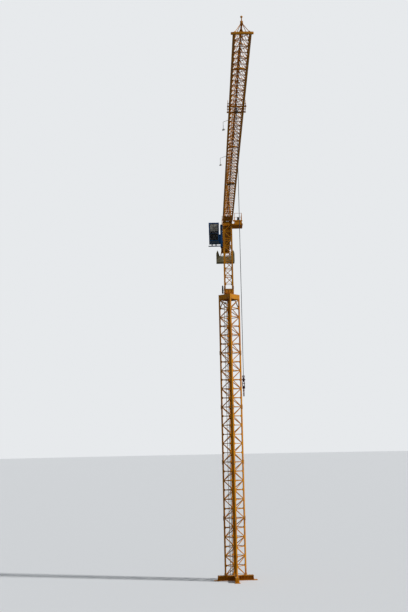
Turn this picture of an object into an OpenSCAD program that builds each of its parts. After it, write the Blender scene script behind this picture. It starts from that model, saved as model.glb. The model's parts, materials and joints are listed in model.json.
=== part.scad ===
/* [Mast] */
// Outer width of the fixed mast
mast_out = 784; // [700:2:860]
// Number of mast sections
mast_sections = 5; // [3:1:6]
// Height of one mast section
section_h = 2800; // [2400:50:3000]
// Lacing panels in one mast section
section_panels = 6; // [4:2:8]
// Flange width of a mast leg's steel angle
mast_leg = 94; // [80:1:106]
// Flange thickness of a mast leg's steel angle
mast_leg_t = 14; // [10:1:18]
// Width of the mast lacing bars
mast_lacing = 36; // [24:1:50]
// Thickness of the mast lacing bars
mast_lacing_t = 22; // [16:1:28]
// Turn of the fixed mast against the jib
mast_turn = 48.8; // [0:0.1:90]
// Height of the crossed base beams
base_h = 250; // [180:5:300]
// Reach of the base beams from the mast axis
base_reach = 900; // [800:10:1000]
// Height of the collar on top of the mast
collar_h = 250; // [180:5:320]

/* [Upper tower] */
// Outer width of the slewing tower
tower_width = 488; // [450:2:520]
// Flange width of a slewing tower leg's steel angle
tower_leg = 78; // [66:1:90]
// Flange thickness of a slewing tower leg's steel angle
tower_leg_t = 12; // [8:1:16]
// Width of the slewing tower's lacing bars
tower_lacing = 32; // [24:1:40]
// Thickness of the slewing tower's lacing bars
tower_lacing_t = 20; // [14:1:26]
// Number of lacing panels in the slewing tower
tower_panels = 8; // [6:2:10]
// Height of one slewing tower panel
tower_panel = 400; // [350:5:450]
// Open height between the turntable and the first tower ring
tower_stub = 290; // [200:5:400]
// Height of the turntable block
turntable_h = 235; // [180:5:280]
// Outer radius of the slewing ring
ring_r = 245; // [230:1:260]
// Height of each race of the slewing ring
race_h = 32; // [24:1:40]
// Height of the tower head above the jib's bottom chords
head_h = 2100; // [1800:10:2400]

/* [Jib] */
// Distance between the bottom chord centres
jib_w = 450; // [420:5:520]
// Height of the top chord over the bottom chords
jib_h = 430; // [400:5:560]
// Length of one jib panel
jib_panel = 416.7; // [380:0.1:450]
// Number of jib panels
jib_panels = 54; // [40:2:54]
// Station where the jib panels start
jib_start = 135; // [100:5:200]
// Side of a bottom chord
chord = 44; // [36:1:56]
// Side of the top chord
top_chord = 44; // [36:1:60]
// Width of the jib lacing bars
jib_lacing = 20; // [14:1:30]
// Thickness of the jib lacing bars
jib_lacing_t = 14; // [10:1:20]
// Width of the wheel ledge outside a bottom chord
ledge = 24; // [22:1:30]

/* [Counter-jib] */
// Length of the counter-jib behind the tower axis
counter_l = 7450; // [7000:50:7900]
// Distance of the ballast centre from the counter-jib's end
ballast_inset = 600; // [550:10:1000]
// Width of a ballast slab
ballast_w = 1096; // [1000:4:1200]
// Height of a ballast slab to its shoulder
ballast_h = 545; // [450:5:650]
// Thickness of one ballast slab
slab_t = 190; // [150:5:200]
// Number of ballast slabs
slabs = 3; // [2:1:4]

/* [Cab] */
// Width of the cab
cab_w = 518; // [480:2:560]
// Depth of the cab
cab_d = 900; // [800:10:1000]
// Height of the cab
cab_h = 992; // [900:4:1060]
// Distance of the cab's inner side from the tower axis
cab_x = 467; // [440:1:500]

/* [Trolley and hook] */
// Distance of the trolley from the tower axis
trolley_y = 16957; // [3000:1:22000]
// Length of the trolley's cross beams
trolley_w = 662; // [620:2:700]
// Distance between the trolley's wheel axles
wheelbase = 535; // [480:5:600]
// Radius of a trolley wheel
wheel_r = 42; // [34:1:48]
// Radius of the hoist rope
rope_r = 7; // [5:0.5:8]
// Height of the hook block's underside over the ground
hook_z = 8627; // [2000:10:14000]
// Height of the hook block's cheeks
block_h = 457; // [380:1:520]

/* [Hidden] */

touch = 0.3;
panel_h = section_h / section_panels;
mast_panels = mast_sections * section_panels;
mast_h = mast_sections * section_h;
mast_top = base_h + mast_h;
collar_top = mast_top + collar_h;
ring_top = collar_top + 2 * race_h + touch;
table_top = ring_top + turntable_h;
tower_base = table_top + tower_stub;
tower_top = tower_base + tower_panels * tower_panel;
head_frame_h = 90;
jib_z = tower_top + head_frame_h / 2;
apex_z = jib_z + head_h;
tower_out = tower_width / 2;
jib_l = jib_start + jib_panels * jib_panel;
chord_top = jib_z + chord / 2;
strip = 8;
// Levels of the hoist rope's straight run and of the sheaves it passes over
sheave_r = 55;
sheave_z = jib_z - 110;
rope_z = sheave_z + sheave_r + rope_r;
cheek_l = 238;

function unit(v) = v / norm(v);
function left_of(v) = [-v[1], v[0]];
// Where the line through p along u meets the line through q along v
function meet(p, u, q, v) = p + u * cross(q - p, v) / cross(u, v);
// A counterclockwise outline moved inwards by its own gap on each edge
function inset(shape, gaps) = let (n = len(shape)) [
    for (i = [0:n - 1])
        let (a = shape[(i + n - 1) % n], b = shape[i], c = shape[(i + 1) % n],
             u = unit(b - a), v = unit(c - b))
        meet(b + left_of(u) * gaps[(i + n - 1) % n], u, b + left_of(v) * gaps[i], v)
];
// The index lists of several outlines whose points are joined in one list
function runs(shapes, i = 0, from = 0) = i == len(shapes) ? [] :
    concat([[for (k = [0:len(shapes[i]) - 1]) from + k]], runs(shapes, i + 1, from + len(shapes[i])));

// A flat plate with openings cut through it
module pierced(outline, openings, depth) {
    shapes = concat([outline], openings);
    linear_extrude(depth, center = true)
        polygon([for (s = shapes) each s], runs(shapes));
}

// A straight bar of few sides from one point to another
module bar(a, b, r, sides = 8) {
    d = b - a;
    translate(a)
        rotate([0, acos(d[2] / norm(d)), atan2(d[1], d[0])])
            cylinder(h = norm(d), r = r, $fn = sides);
}

// A closed outline whose corners are rounded, each by its own radius
function rounded(points, radii, steps = 5) = let (n = len(points)) [
    for (i = [0:n - 1])
        let (a = points[(i + n - 1) % n], b = points[i], c = points[(i + 1) % n],
             u = unit(a - b), v = unit(c - b), half = acos(u * v) / 2,
             centre = b + unit(u + v) * radii[i] / sin(half),
             from = b + u * radii[i] / tan(half) - centre, to = b + v * radii[i] / tan(half) - centre,
             sweep = cross(from, to) > 0 ? acos(unit(from) * unit(to)) : -acos(unit(from) * unit(to)))
        each radii[i] == 0 ? [b] : [
            for (k = [0:steps])
                let (t = sweep * k / steps)
                centre + [from[0] * cos(t) - from[1] * sin(t), from[0] * sin(t) + from[1] * cos(t)]
        ]
];

// Both ends of a straight run that touches two wheels. A negative radius is a wheel on the run's other side.
function run_between(a, ra, b, rb, side) =
    let (d = b - a, u = unit(d), c = (ra - rb) / norm(d), n = c * u + side * sqrt(1 - c * c) * left_of(u))
    [a + ra * n, b + rb * n];

module each_corner(w) {
    for (a = [0:90:270])
        rotate([0, 0, a])
            translate([w / 2, w / 2, 0])
                children();
}

module both_sides() {
    children();
    mirror([1, 0, 0]) children();
}

// A steel angle that stands on its end, with its outer corner at the origin
module angle_bar(flange, t, h) {
    linear_extrude(h)
        polygon([[0, 0], [0, -flange], [-t, -flange], [-t, -t], [-flange, -t], [-flange, 0]]);
}

// A cover plate round the outside of a steel angle's corner
module corner_cover(flange, t, h) {
    linear_extrude(h)
        polygon([[t, t], [t, -flange], [0, -flange], [0, 0], [-flange, 0], [-flange, t]]);
}

// Ladder-like lacing: a cross bar at every panel and one diagonal in it. The lines of the bars meet
// at the given distance inside the plate's edges, and an edge strip joins their ends.
module lacing(w, node_in, edge, panel, count, bar_w, depth) {
    half = bar_w / 2;
    left = node_in;
    right = w - node_in;
    margin = edge - node_in;
    openings = [
        for (j = [0:count - 1])
            let (b = j * panel, t = b + panel, rising = j % 2 == 1)
            each rising
                ? [inset([[left, b], [right, b], [right, t]], [half, margin, half]),
                   inset([[left, b], [right, t], [left, t]], [half, half, margin])]
                : [inset([[left, b], [right, b], [left, t]], [half, half, margin]),
                   inset([[right, b], [right, t], [left, t]], [margin, half, half])]
    ];
    pierced([[0, 0], [w, 0], [w, count * panel], [0, count * panel]], openings, depth);
}

// One flat side of a square tower, fixed to the inner faces of its steel angles
module tower_side(out, leg, leg_t, panel, count, bar_w, depth) {
    face = out / 2 - leg_t - touch;
    reach = face - depth - touch;
    behind = out / 2 - reach;
    translate([-reach, -face + depth / 2, 0])
        rotate([90, 0, 0])
            lacing(2 * reach, leg / 2 - behind, leg - behind - strip, panel, count, bar_w, depth);
}

// A flat ladder that stands in the XZ plane
module ladder(h, w, rung_gap, rail) {
    count = floor(h / rung_gap);
    rung = rail * 0.7;
    openings = [
        for (i = [0:count - 1])
            let (b = i * rung_gap + rung, t = (i + 1) * rung_gap)
            [[-w / 2 + rail, b], [w / 2 - rail, b], [w / 2 - rail, t], [-w / 2 + rail, t]]
    ];
    rotate([90, 0, 0])
        pierced([[-w / 2, 0], [w / 2, 0], [w / 2, h], [-w / 2, h]], openings, rail);
}

// A rope wheel that turns about X, with a groove that a rope lies in
module sheave(groove_r, width) {
    rim = groove_r + 1.6 * rope_r;
    rotate([0, 90, 0])
        rotate_extrude($fn = 72)
            polygon([[0, -width / 2], [groove_r * 0.3, -width / 2], [groove_r * 0.36, -width / 4],
                     [groove_r * 0.82, -width / 4], [groove_r * 0.88, -width / 2], [rim, -width / 2],
                     [groove_r - touch, -rope_r - 0.5], [groove_r - touch, rope_r + 0.5],
                     [rim, width / 2], [groove_r * 0.88, width / 2], [groove_r * 0.82, width / 4],
                     [groove_r * 0.36, width / 4], [groove_r * 0.3, width / 2], [0, width / 2]]);
}

// Fixed mast

arm_w = 180;
arm_wall = 16;
foot_l = 190;
foot_w = 260;
foot_t = 24;
rib_t = 12;
anchor_r = 17;
anchor_at = [base_reach + 55, base_reach + 125];
rib_gap = 150;
module base_cross() {
    color("darkgoldenrod")
        rotate([0, 0, mast_turn + 45])
            difference() {
                union() {
                    for (a = [0, 90])
                        rotate([0, 0, a])
                            difference() {
                                translate([-base_reach, -arm_w / 2, 0])
                                    cube([2 * base_reach, arm_w, base_h]);
                                for (y = [-1, 1])
                                    translate([-base_reach - 1, y > 0 ? rib_t : -arm_w, 2 * arm_wall])
                                        cube([2 * base_reach + 2, arm_w - rib_t, base_h - 4 * arm_wall]);
                            }
                    for (a = [0:90:270])
                        rotate([0, 0, a]) {
                            translate([base_reach - 40, -foot_w / 2, 0])
                                cube([foot_l + 40, foot_w, foot_t]);
                            for (i = [0:4])
                                translate([base_reach - rib_t - i * rib_gap, -arm_w / 2, 0])
                                    cube([rib_t, arm_w, base_h]);
                            translate([base_reach, rib_t / 2, 0])
                                rotate([90, 0, 0])
                                    linear_extrude(rib_t)
                                        polygon([[0, 0], [30, 0], [30, foot_t], [0, base_h * 0.8]]);
                        }
                    translate([-arm_w / 2, -arm_w / 2, 0])
                        cube([arm_w, arm_w, base_h]);
                }
                for (a = [0:90:270], r = anchor_at)
                    rotate([0, 0, a])
                        translate([r, 0, -1])
                            cylinder(h = foot_t + 2, r = anchor_r, $fn = 48);
            }
}

splice_h = 220;
splice_t = 12;
shoe_w = 120;
shoe_t = 16;
module mast_legs() {
    color("orange")
        rotate([0, 0, mast_turn])
            translate([0, 0, base_h])
                each_corner(mast_out) {
                    angle_bar(mast_leg, mast_leg_t, mast_h);
                    translate([-(mast_leg + shoe_w) / 2, -(mast_leg + shoe_w) / 2, 0])
                        cube([shoe_w, shoe_w, shoe_t]);
                    corner_cover(mast_leg, splice_t, splice_h / 2);
                    for (i = [1:mast_sections - 1])
                        translate([0, 0, i * section_h - splice_h / 2])
                            corner_cover(mast_leg, splice_t, splice_h);
                }
}

module mast_side(turn, flip) {
    color("orange")
        translate([0, 0, base_h + shoe_t + touch])
            rotate([0, 0, mast_turn + turn])
                mirror(flip ? [1, -1, 0] : [0, 0, 0])
                    tower_side(mast_out, mast_leg, mast_leg_t, panel_h - (shoe_t + touch) / mast_panels,
                               mast_panels, mast_lacing, mast_lacing_t);
}
module mast_near_right_side() { mast_side(0, false); }
module mast_near_left_side() { mast_side(0, true); }
module mast_far_left_side() { mast_side(180, false); }
module mast_far_right_side() { mast_side(180, true); }

ladder_w = 200;
ladder_rail = 20;
rung_gap = 150;
ladder_out = 90;
mast_inner = mast_out / 2 - mast_leg_t - mast_lacing_t - 2 * touch;
mast_ladder_at = mast_inner - ladder_out;
bracket_t = 12;
module mast_ladder() {
    color("dimgray")
        rotate([0, 0, mast_turn]) {
            translate([0, mast_ladder_at, base_h])
                ladder(mast_h - 100, ladder_w, rung_gap, ladder_rail);
            for (i = [0:3:mast_panels - 1], x = [-1, 1])
                translate([x * (ladder_w - ladder_rail) / 2 - bracket_t / 2, mast_ladder_at,
                           base_h + shoe_t + i * panel_h])
                    cube([bracket_t, ladder_out, mast_lacing / 2]);
        }
}

collar_wall = 22;
collar_rib_t = 14;
manhole_r = 165;
seat_h = 110;
strut_r = 24;
module mast_collar() {
    strut_foot = mast_inner - touch - strut_r;
    color("orange")
        rotate([0, 0, mast_turn]) {
            translate([0, 0, mast_top])
                difference() {
                    union() {
                        difference() {
                            translate([-mast_out / 2, -mast_out / 2, 0])
                                cube([mast_out, mast_out, collar_h]);
                            translate([-mast_out / 2 + collar_wall, -mast_out / 2 + collar_wall, -1])
                                cube([mast_out - 2 * collar_wall, mast_out - 2 * collar_wall,
                                      collar_h + 1 - collar_wall]);
                        }
                        translate([0, 0, collar_h - seat_h])
                            cylinder(h = seat_h, r = ring_r - 20, $fn = 96);
                        for (a = [45:45:360])
                            rotate([0, 0, a])
                                translate([manhole_r, -collar_rib_t / 2, collar_h - seat_h * 0.8])
                                    cube([mast_out / 2 - manhole_r - collar_wall / 2, collar_rib_t,
                                          seat_h * 0.8 - collar_wall / 2]);
                    }
                    translate([0, 0, -1])
                        cylinder(h = collar_h + 2, r = manhole_r, $fn = 96);
                }
            for (a = [0:90:270])
                rotate([0, 0, a])
                    bar([strut_foot, strut_foot, mast_top - panel_h + 40],
                        [ring_r * 0.6, ring_r * 0.6, collar_top - seat_h / 2], strut_r);
        }
}

race_hole_r = 185;
module slewing_ring_lower() {
    color("dimgray")
        translate([0, 0, collar_top])
            difference() {
                cylinder(h = race_h, r = ring_r, $fn = 96);
                translate([0, 0, -1])
                    cylinder(h = race_h + 2, r = race_hole_r, $fn = 96);
            }
}

// Slewing tower

table_plate = 16;
table_lip = 12;
table_ribs = [-150, 0, 150];
module turntable() {
    color("darkgoldenrod")
        difference() {
            union() {
                translate([0, 0, collar_top + race_h + touch])
                    cylinder(h = race_h, r = ring_r, $fn = 96);
                translate([-tower_out, -tower_out, ring_top])
                    cube([tower_width, tower_width, turntable_h]);
                for (z = [ring_top, table_top - table_plate])
                    translate([-tower_out - table_lip, -tower_out - table_lip, z])
                        cube([tower_width + 2 * table_lip, tower_width + 2 * table_lip, table_plate]);
                for (a = [0:90:270], x = table_ribs)
                    rotate([0, 0, a])
                        translate([x - rib_t / 2, -tower_out - table_lip, ring_top])
                            cube([rib_t, table_lip + 1, turntable_h]);
            }
            translate([0, 0, collar_top])
                cylinder(h = turntable_h + 3 * race_h, r = race_hole_r, $fn = 96);
        }
}

motor_out = 84;
motor_r = 40;
motor_foot = 20;
fin_gap = 12;
module slewing_motor() {
    box_h = 190;
    body_h = 132;
    fins = [for (i = [0:body_h / fin_gap - 1])
        each [[motor_r * 0.84, i * fin_gap], [motor_r * 0.84, i * fin_gap + fin_gap / 2],
              [motor_r * 0.96, i * fin_gap + fin_gap / 2], [motor_r * 0.96, (i + 1) * fin_gap]]];
    color([0.16, 0.16, 0.18])
        translate([-tower_out - motor_out, 0, ring_top + motor_foot]) {
            rotate_extrude($fn = 64)
                polygon(concat([[0, 0], [motor_r, 0], [motor_r, box_h], [motor_r + 8, box_h],
                                [motor_r + 8, box_h + 16]],
                               [for (f = fins) [f[0], f[1] + box_h + 16]],
                               [[motor_r, box_h + body_h + 16], [motor_r, box_h + body_h + 66],
                                [motor_r * 0.7, box_h + body_h + 80], [8, box_h + body_h + 114],
                                [0, box_h + body_h + 114]]));
            translate([0, -30, 20])
                cube([motor_out - table_lip - touch, 60, 14]);
            translate([0, -30, 140])
                cube([motor_out - table_lip - touch, 60, 14]);
        }
}

tower_shoe_h = 150;
module tower_legs() {
    color("orange")
        translate([0, 0, table_top])
            each_corner(tower_width) {
                angle_bar(tower_leg, tower_leg_t, tower_top - table_top);
                corner_cover(tower_leg, table_lip, tower_shoe_h);
            }
}

module upper_side(turn) {
    color("orange")
        translate([0, 0, tower_base])
            rotate([0, 0, turn])
                tower_side(tower_width, tower_leg, tower_leg_t, tower_panel, tower_panels,
                           tower_lacing, tower_lacing_t);
}
module tower_front_side() { upper_side(0); }
module tower_right_side() { upper_side(90); }
module tower_rear_side() { upper_side(180); }
module tower_left_side() { upper_side(270); }

tower_inner = tower_out - tower_leg_t - tower_lacing_t - 2 * touch;
tower_ladder_out = 32;
module tower_ladder() {
    color("dimgray") {
        translate([tower_inner - tower_ladder_out, 0, table_top])
            rotate([0, 0, 90])
                ladder(tower_top - table_top - 60, ladder_w, rung_gap, ladder_rail);
        for (i = [0:2:tower_panels - 1], y = [-1, 1])
            translate([tower_inner - tower_ladder_out, y * (ladder_w - ladder_rail) / 2 - bracket_t / 2,
                       tower_base + i * tower_panel])
                cube([tower_ladder_out, bracket_t, tower_lacing / 2]);
    }
}

head_x = jib_w + chord;
head_beam = 74;
head_leg_r = 30;
apex_block = [130, 200, 130];
apex_floor = 30;
rope_slot = [30, 110];
apex_plate = 20;
apex_gap = apex_block[0] - 2 * apex_plate;
module tower_head() {
    foot = tower_out - head_beam / 2;
    top_x = apex_block[0] / 2 - 20;
    top_y = apex_block[1] / 2 - 30;
    low = tower_top + head_frame_h;
    high = apex_z - apex_block[2];
    levels = [0.3, 0.58, 0.82];
    function spot(f, x, y) = [x * (foot + (top_x - foot) * f), y * (foot + (top_y - foot) * f),
                              low + (high - low) * f];
    color("orange") {
        translate([0, 0, tower_top])
            difference() {
                translate([-head_x / 2, -tower_out, 0])
                    cube([head_x, 2 * tower_out, head_frame_h]);
                translate([-head_x / 2 + head_beam, -tower_out + head_beam, -1])
                    cube([head_x - 2 * head_beam, 2 * (tower_out - head_beam), head_frame_h + 2]);
            }
        for (x = [-1, 1], y = [-1, 1])
            bar(spot(-0.01, x, y), spot(1, x, y), head_leg_r);
        for (f = levels) {
            for (s = [-1, 1]) {
                bar(spot(f, -1, s), spot(f, 1, s), 16);
                bar(spot(f, s, -1), spot(f, s, 1), 16);
            }
        }
        for (i = [0:2], s = [-1, 1]) {
            f = i == 0 ? 0 : levels[i - 1];
            bar(spot(f, s, -1), spot(levels[i], s, 1), 14);
            bar(spot(f, -1, s), spot(levels[i], 1, s), 14);
        }
        difference() {
            translate([-apex_block[0] / 2, -apex_block[1] / 2, high])
                cube([apex_block[0], apex_block[1], apex_floor]);
            translate([-rope_slot[0] / 2, -apex_sheave_r - rope_slot[1] + 70, high - 50])
                cube([rope_slot[0], rope_slot[1], apex_floor + 60]);
        }
        for (x = [-1, 1])
            translate([x * (apex_gap + apex_plate) / 2 - apex_plate / 2, 0, high])
                rotate([90, 0, 90])
                    linear_extrude(apex_plate)
                        polygon(rounded([[-apex_block[1] / 2, 0], [apex_block[1] / 2, 0],
                                         [apex_block[1] / 2, apex_block[2]], [-apex_block[1] / 2, apex_block[2]]],
                                        [0, 0, 30, 30]));
    }
}

apex_sheave_r = 44;
apex_sheave_z = apex_z - 50;
module apex_sheave() {
    color("dimgray")
        translate([0, 0, apex_sheave_z]) {
            sheave(apex_sheave_r, 24);
            rotate([0, 90, 0])
                cylinder(h = apex_gap - 2 * touch, r = 16, center = true, $fn = 32);
        }
}

// Cab and platform beside the tower

cab_y = -700;
cab_z = jib_z - 1065;
cab_wall = 24;
sill_h = 60;
glass_split = 396;
nose_low = 60;
nose_high = 26;
window_r = 34;
window_l = cab_d * 0.52;
door_w = 300;
door_sill = 40;
// How far back the cab's sloped front lies at a height over its floor
function nose(z) = z < glass_split ? nose_low * (1 - z / glass_split)
                                   : nose_high * (z - glass_split) / (cab_h - glass_split);
// The cab's outline seen from its side, moved inwards by a gap
function cab_outline(gap) = rounded(
    [[nose(gap) + gap, gap], [cab_d - gap, gap], [cab_d - gap, cab_h - gap],
     [nose(cab_h) + gap, cab_h - gap], [gap, glass_split]],
    [30, 12, 70, 90, 0]);
// The side window's outline, moved outwards by a gap
function side_window(gap) = rounded(
    [[nose(glass_split) + 60 - gap, glass_split + cab_wall - gap], [60 + window_l + gap, glass_split + cab_wall - gap],
     [60 + window_l + gap, cab_h - 3 * cab_wall + gap], [nose(cab_h) + 60 - gap, cab_h - 3 * cab_wall + gap]],
    [window_r, window_r, window_r, window_r]);
module along_cab(x, w) {
    translate([x, 0, 0])
        rotate([90, 0, 90])
            linear_extrude(w)
                children();
}
module cab_shell() {
    color("navy")
        translate([-cab_x - cab_w, cab_y, cab_z]) {
            difference() {
                along_cab(0, cab_w) polygon(cab_outline(0));
                along_cab(cab_wall, cab_w - 2 * cab_wall) polygon(cab_outline(cab_wall));
                translate([2 * cab_wall, -1, glass_split + cab_wall])
                    cube([cab_w - 4 * cab_wall, 3 * cab_wall, cab_h - glass_split - 4 * cab_wall]);
                translate([2 * cab_wall, -1, sill_h])
                    cube([cab_w - 4 * cab_wall, nose_low + cab_wall, glass_split - sill_h]);
                along_cab(-1, cab_w + 2) polygon(side_window(0));
                translate([(cab_w - door_w) / 2, cab_d - 6, door_sill])
                    difference() {
                        cube([door_w, 7, cab_h - 3 * door_sill]);
                        translate([6, -1, 6])
                            cube([door_w - 12, 9, cab_h - 3 * door_sill - 12]);
                    }
            }
            along_cab(-10, cab_w + 20)
                polygon([[60, cab_h - 3], [cab_d - 40, cab_h - 3], [cab_d - 40, cab_h], [60, cab_h]]);
            for (x = [-10, cab_w - 6])
                along_cab(x, 16)
                    polygon([[100, cab_h - 70], [cab_d - 100, cab_h - 70], [cab_d - 100, cab_h - 50],
                             [100, cab_h - 50]]);
        }
}

pane_t = 8;
module cab_glazing() {
    module front_pane(z0, z1) {
        along_cab(2 * cab_wall + touch, cab_w - 4 * cab_wall - 2 * touch)
            polygon([[nose(z0) + pane_t, z0], [nose(z0) + 2 * pane_t, z0],
                     [nose(z1) + 2 * pane_t, z1], [nose(z1) + pane_t, z1]]);
    }
    color([0.75, 0.8, 0.82, 0.5])
        translate([-cab_x - cab_w, cab_y, cab_z]) {
            front_pane(glass_split + cab_wall + touch, cab_h - 3 * cab_wall - touch);
            front_pane(sill_h + touch, glass_split - touch);
            for (x = [pane_t, cab_w - 2 * pane_t])
                along_cab(x, pane_t) polygon(side_window(-touch));
        }
}

module cab_seat() {
    color([0.1, 0.1, 0.12])
        translate([-cab_x - cab_w / 2, cab_y + 480, cab_z + cab_wall + touch]) {
            cylinder(h = 150, r = 40, $fn = 32);
            translate([0, 0, 150])
                rotate([90, 0, 90])
                    linear_extrude(210, center = true)
                        polygon(rounded([[-120, 0], [120, 0], [165, 330], [125, 345], [85, 60], [-120, 60]],
                                        [24, 30, 16, 16, 30, 24]));
            for (x = [-1, 1])
                translate([x * 160, -50, 0])
                    rotate([90, 0, 90])
                        linear_extrude(70, center = true)
                            polygon(rounded([[-90, 0], [110, 0], [110, 210], [-30, 250], [-110, 220]],
                                            [0, 0, 20, 30, 20]));
        }
}

post_x = 386;
post_w = [95, 48];
post_y = [-260, 152];
post_z = [cab_z - 192, cab_z + 973];
link_h = 449;
link_t = 14;
rail_x = [-1025, -254];
cab_rail = 48;
module cab_mount_frame() {
    color("navy") {
        for (y = post_y) {
            translate([-post_x, y, post_z[0]])
                cube([post_w[0], post_w[1], post_z[1] - post_z[0]]);
            for (z = [cab_z + 40, post_z[1] - 110])
                translate([-post_x + post_w[0] - 1, y, z])
                    cube([post_x - post_w[0] - tower_out - touch + 1, post_w[1], 60]);
            translate([-cab_x + touch, y + (post_w[1] - link_t) / 2, cab_z])
                cube([cab_x - post_x - touch + 1, link_t, link_h]);
            translate([-cab_x + touch, y, cab_z])
                cube([link_t, post_w[1], link_h]);
        }
        translate([rail_x[0], post_y[1], cab_z - 115])
            cube([rail_x[1] - rail_x[0], cab_rail, cab_rail]);
        for (x = [0.3, 0.7])
            translate([-cab_x - cab_w * x - 30, post_y[1], cab_z - 68])
                cube([60, cab_rail, 68 - touch]);
        translate([-post_x, post_y[0] + post_w[1] - 1, cab_z + 100])
            cube([post_w[1], post_y[1] - post_y[0] - post_w[1] + 2, 40]);
    }
}

deck_z = jib_z - 116;
deck_h = 54;
deck_x = [tower_out + touch, 807];
deck_y = [-300, 600];
deck_rim = 30;
toe = [20, 149];
module service_platform() {
    wide = deck_x[1] - deck_x[0];
    long = deck_y[1] - deck_y[0];
    color("darkorange") {
        difference() {
            translate([deck_x[0], deck_y[0], deck_z])
                cube([wide, long, deck_h]);
            translate([deck_x[0] + deck_rim, deck_y[0] + deck_rim, deck_z + deck_h - 16])
                cube([wide - 2 * deck_rim, long - 2 * deck_rim, 17]);
            for (i = [0:3])
                translate([deck_x[0] + deck_rim, deck_y[0] + deck_rim + i * (long - deck_rim) / 4, deck_z - 1])
                    cube([wide - 2 * deck_rim, (long - deck_rim) / 4 - deck_rim, deck_h - 27]);
        }
        translate([jib_w / 2 + girder_w / 2 + touch, deck_y[1] - toe[0], deck_z - 13])
            cube([deck_x[1] - jib_w / 2 - girder_w / 2 - touch, toe[0], toe[1]]);
    }
}

rail_r = 11;
rail_up = 622;
knee_rail = [24, 72];
knee_z = jib_z + 56;
post_ins = [143, 51];
module platform_railing() {
    xs = [deck_x[0] + post_ins[0], deck_x[1] - post_ins[1]];
    ys = [deck_y[0] + 15, (deck_y[0] + deck_y[1]) / 2, deck_y[1] - toe[0] - touch - rail_r];
    foot = deck_z + deck_h + touch;
    top = deck_z + rail_up;
    color("darkorange") {
        for (y = ys)
            bar([xs[1], y, foot], [xs[1], y, top], rail_r);
        for (y = [ys[0], ys[2]])
            bar([xs[0], y, foot], [xs[0], y, top], rail_r);
        translate([deck_x[0] + 40, ys[0] - knee_rail[0] / 2, knee_z])
            cube([deck_x[1] - deck_x[0] - 60, knee_rail[0], knee_rail[1]]);
        for (z = [top - rail_r * 0.8, knee_z + knee_rail[1] / 2]) {
            bar([xs[1], ys[0], z], [xs[1], ys[2], z], rail_r * 0.8);
            for (y = [ys[0], ys[2]])
                bar([xs[0], y, z], [xs[1], y, z], rail_r * 0.8);
        }
    }
}

box_x = [513, 615];
box_z = [knee_z + knee_rail[1] + touch, knee_z + knee_rail[1] + 149];
module platform_control_box() {
    color([0.08, 0.08, 0.09])
        translate([box_x[0], deck_y[0] - 5, box_z[0]]) {
            cube([box_x[1] - box_x[0], 60, box_z[1] - box_z[0]]);
            translate([-4, -4, box_z[1] - box_z[0] - 6])
                cube([box_x[1] - box_x[0] + 8, 68, 6]);
            for (x = [0.3, 0.7])
                translate([(box_x[1] - box_x[0]) * x, 61, 30])
                    rotate([90, 0, 0])
                        cylinder(h = 3, r = 12, $fn = 24);
        }
}

// Jib

section_panels_jib = 6;
splice = [160, 8];
module jib_bottom_chords() {
    color("orange")
        both_sides()
            translate([jib_w / 2, -jib_l, jib_z]) {
                translate([-chord / 2, 0, -chord / 2])
                    cube([chord, jib_l - tower_out - touch, chord]);
                translate([chord / 2 - 1, 0, -chord / 2])
                    cube([ledge + 1, jib_l - tower_out - 600, 8]);
                for (k = [section_panels_jib:section_panels_jib:jib_panels - 1])
                    translate([-chord / 2, k * jib_panel - splice[0] / 2, -chord / 2 - splice[1]])
                        cube([chord, splice[0], splice[1] + 1]);
            }
}

top_end = jib_l - jib_panel / 2;
top_z = jib_z + jib_h;
module jib_top_chord() {
    color("orange") {
        translate([-top_chord / 2, -top_end, top_z - top_chord / 2])
            cube([top_chord, top_end - jib_start - 1.5 * jib_panel, top_chord]);
        for (k = [section_panels_jib:section_panels_jib:jib_panels - 2])
            translate([-top_chord / 2 - splice[1], -top_end + (k - 0.5) * jib_panel - splice[0] / 2,
                       top_z - top_chord / 2])
                cube([top_chord + 2 * splice[1], splice[0], top_chord + splice[1]]);
    }
}

side_top_x = 17;
side_run = jib_w / 2 - side_top_x;
side_rise = jib_h - top_chord / 2 - chord / 2;
side_slant = norm([side_run, side_rise]);
module jib_side_plate() {
    n = jib_panels - 1;
    half = jib_lacing / 2;
    p = jib_panel;
    s = side_slant;
    up = [for (k = [0:n - 1]) inset([[k * p, 0], [(k + 1) * p, 0], [(k + 0.5) * p, s]], [strip, half, half])];
    down = [for (k = [0:n - 2])
        inset([[(k + 1) * p, 0], [(k + 1.5) * p, s], [(k + 0.5) * p, s]], [half, strip, half])];
    outline = [[-half, -20], [n * p, -20], [n * p, 0], [(n - 0.5) * p + half, s + 20], [p / 2 - half, s + 20]];
    intersection() {
        translate([jib_w / 2, -jib_start - p, chord_top])
            rotate([0, -atan2(side_run, side_rise), 0])
                rotate([0, 0, -90])
                    rotate([90, 0, 0])
                        pierced(outline, concat(up, down), jib_lacing_t);
        translate([0, -jib_l, chord_top])
            cube([jib_w, jib_l, side_rise]);
    }
}
module jib_right_side() { color("orange") jib_side_plate(); }
module jib_left_side() { color("orange") mirror([1, 0, 0]) jib_side_plate(); }

module jib_bottom_bracing() {
    color("orange")
        translate([jib_w / 2, -jib_start - jib_panel, jib_z])
            rotate([0, 0, 180])
                translate([chord / 2, 0, 0])
                    lacing(jib_w - chord, -chord / 2, strip, jib_panel, jib_panels - 1, jib_lacing,
                           jib_lacing_t);
}

module jib_cross_beams() {
    color("orange")
        for (k = [18, 30, 48])
            translate([0, -jib_start - k * jib_panel, jib_z + jib_lacing_t / 2]) {
                translate([-(jib_w - chord) / 2, -28, 0])
                    cube([jib_w - chord, 56, (chord - jib_lacing_t) / 2]);
                translate([-(jib_w - chord) / 2 + 30, -28, 0])
                    cube([jib_w - chord - 60, 56, 44]);
            }
}

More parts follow.
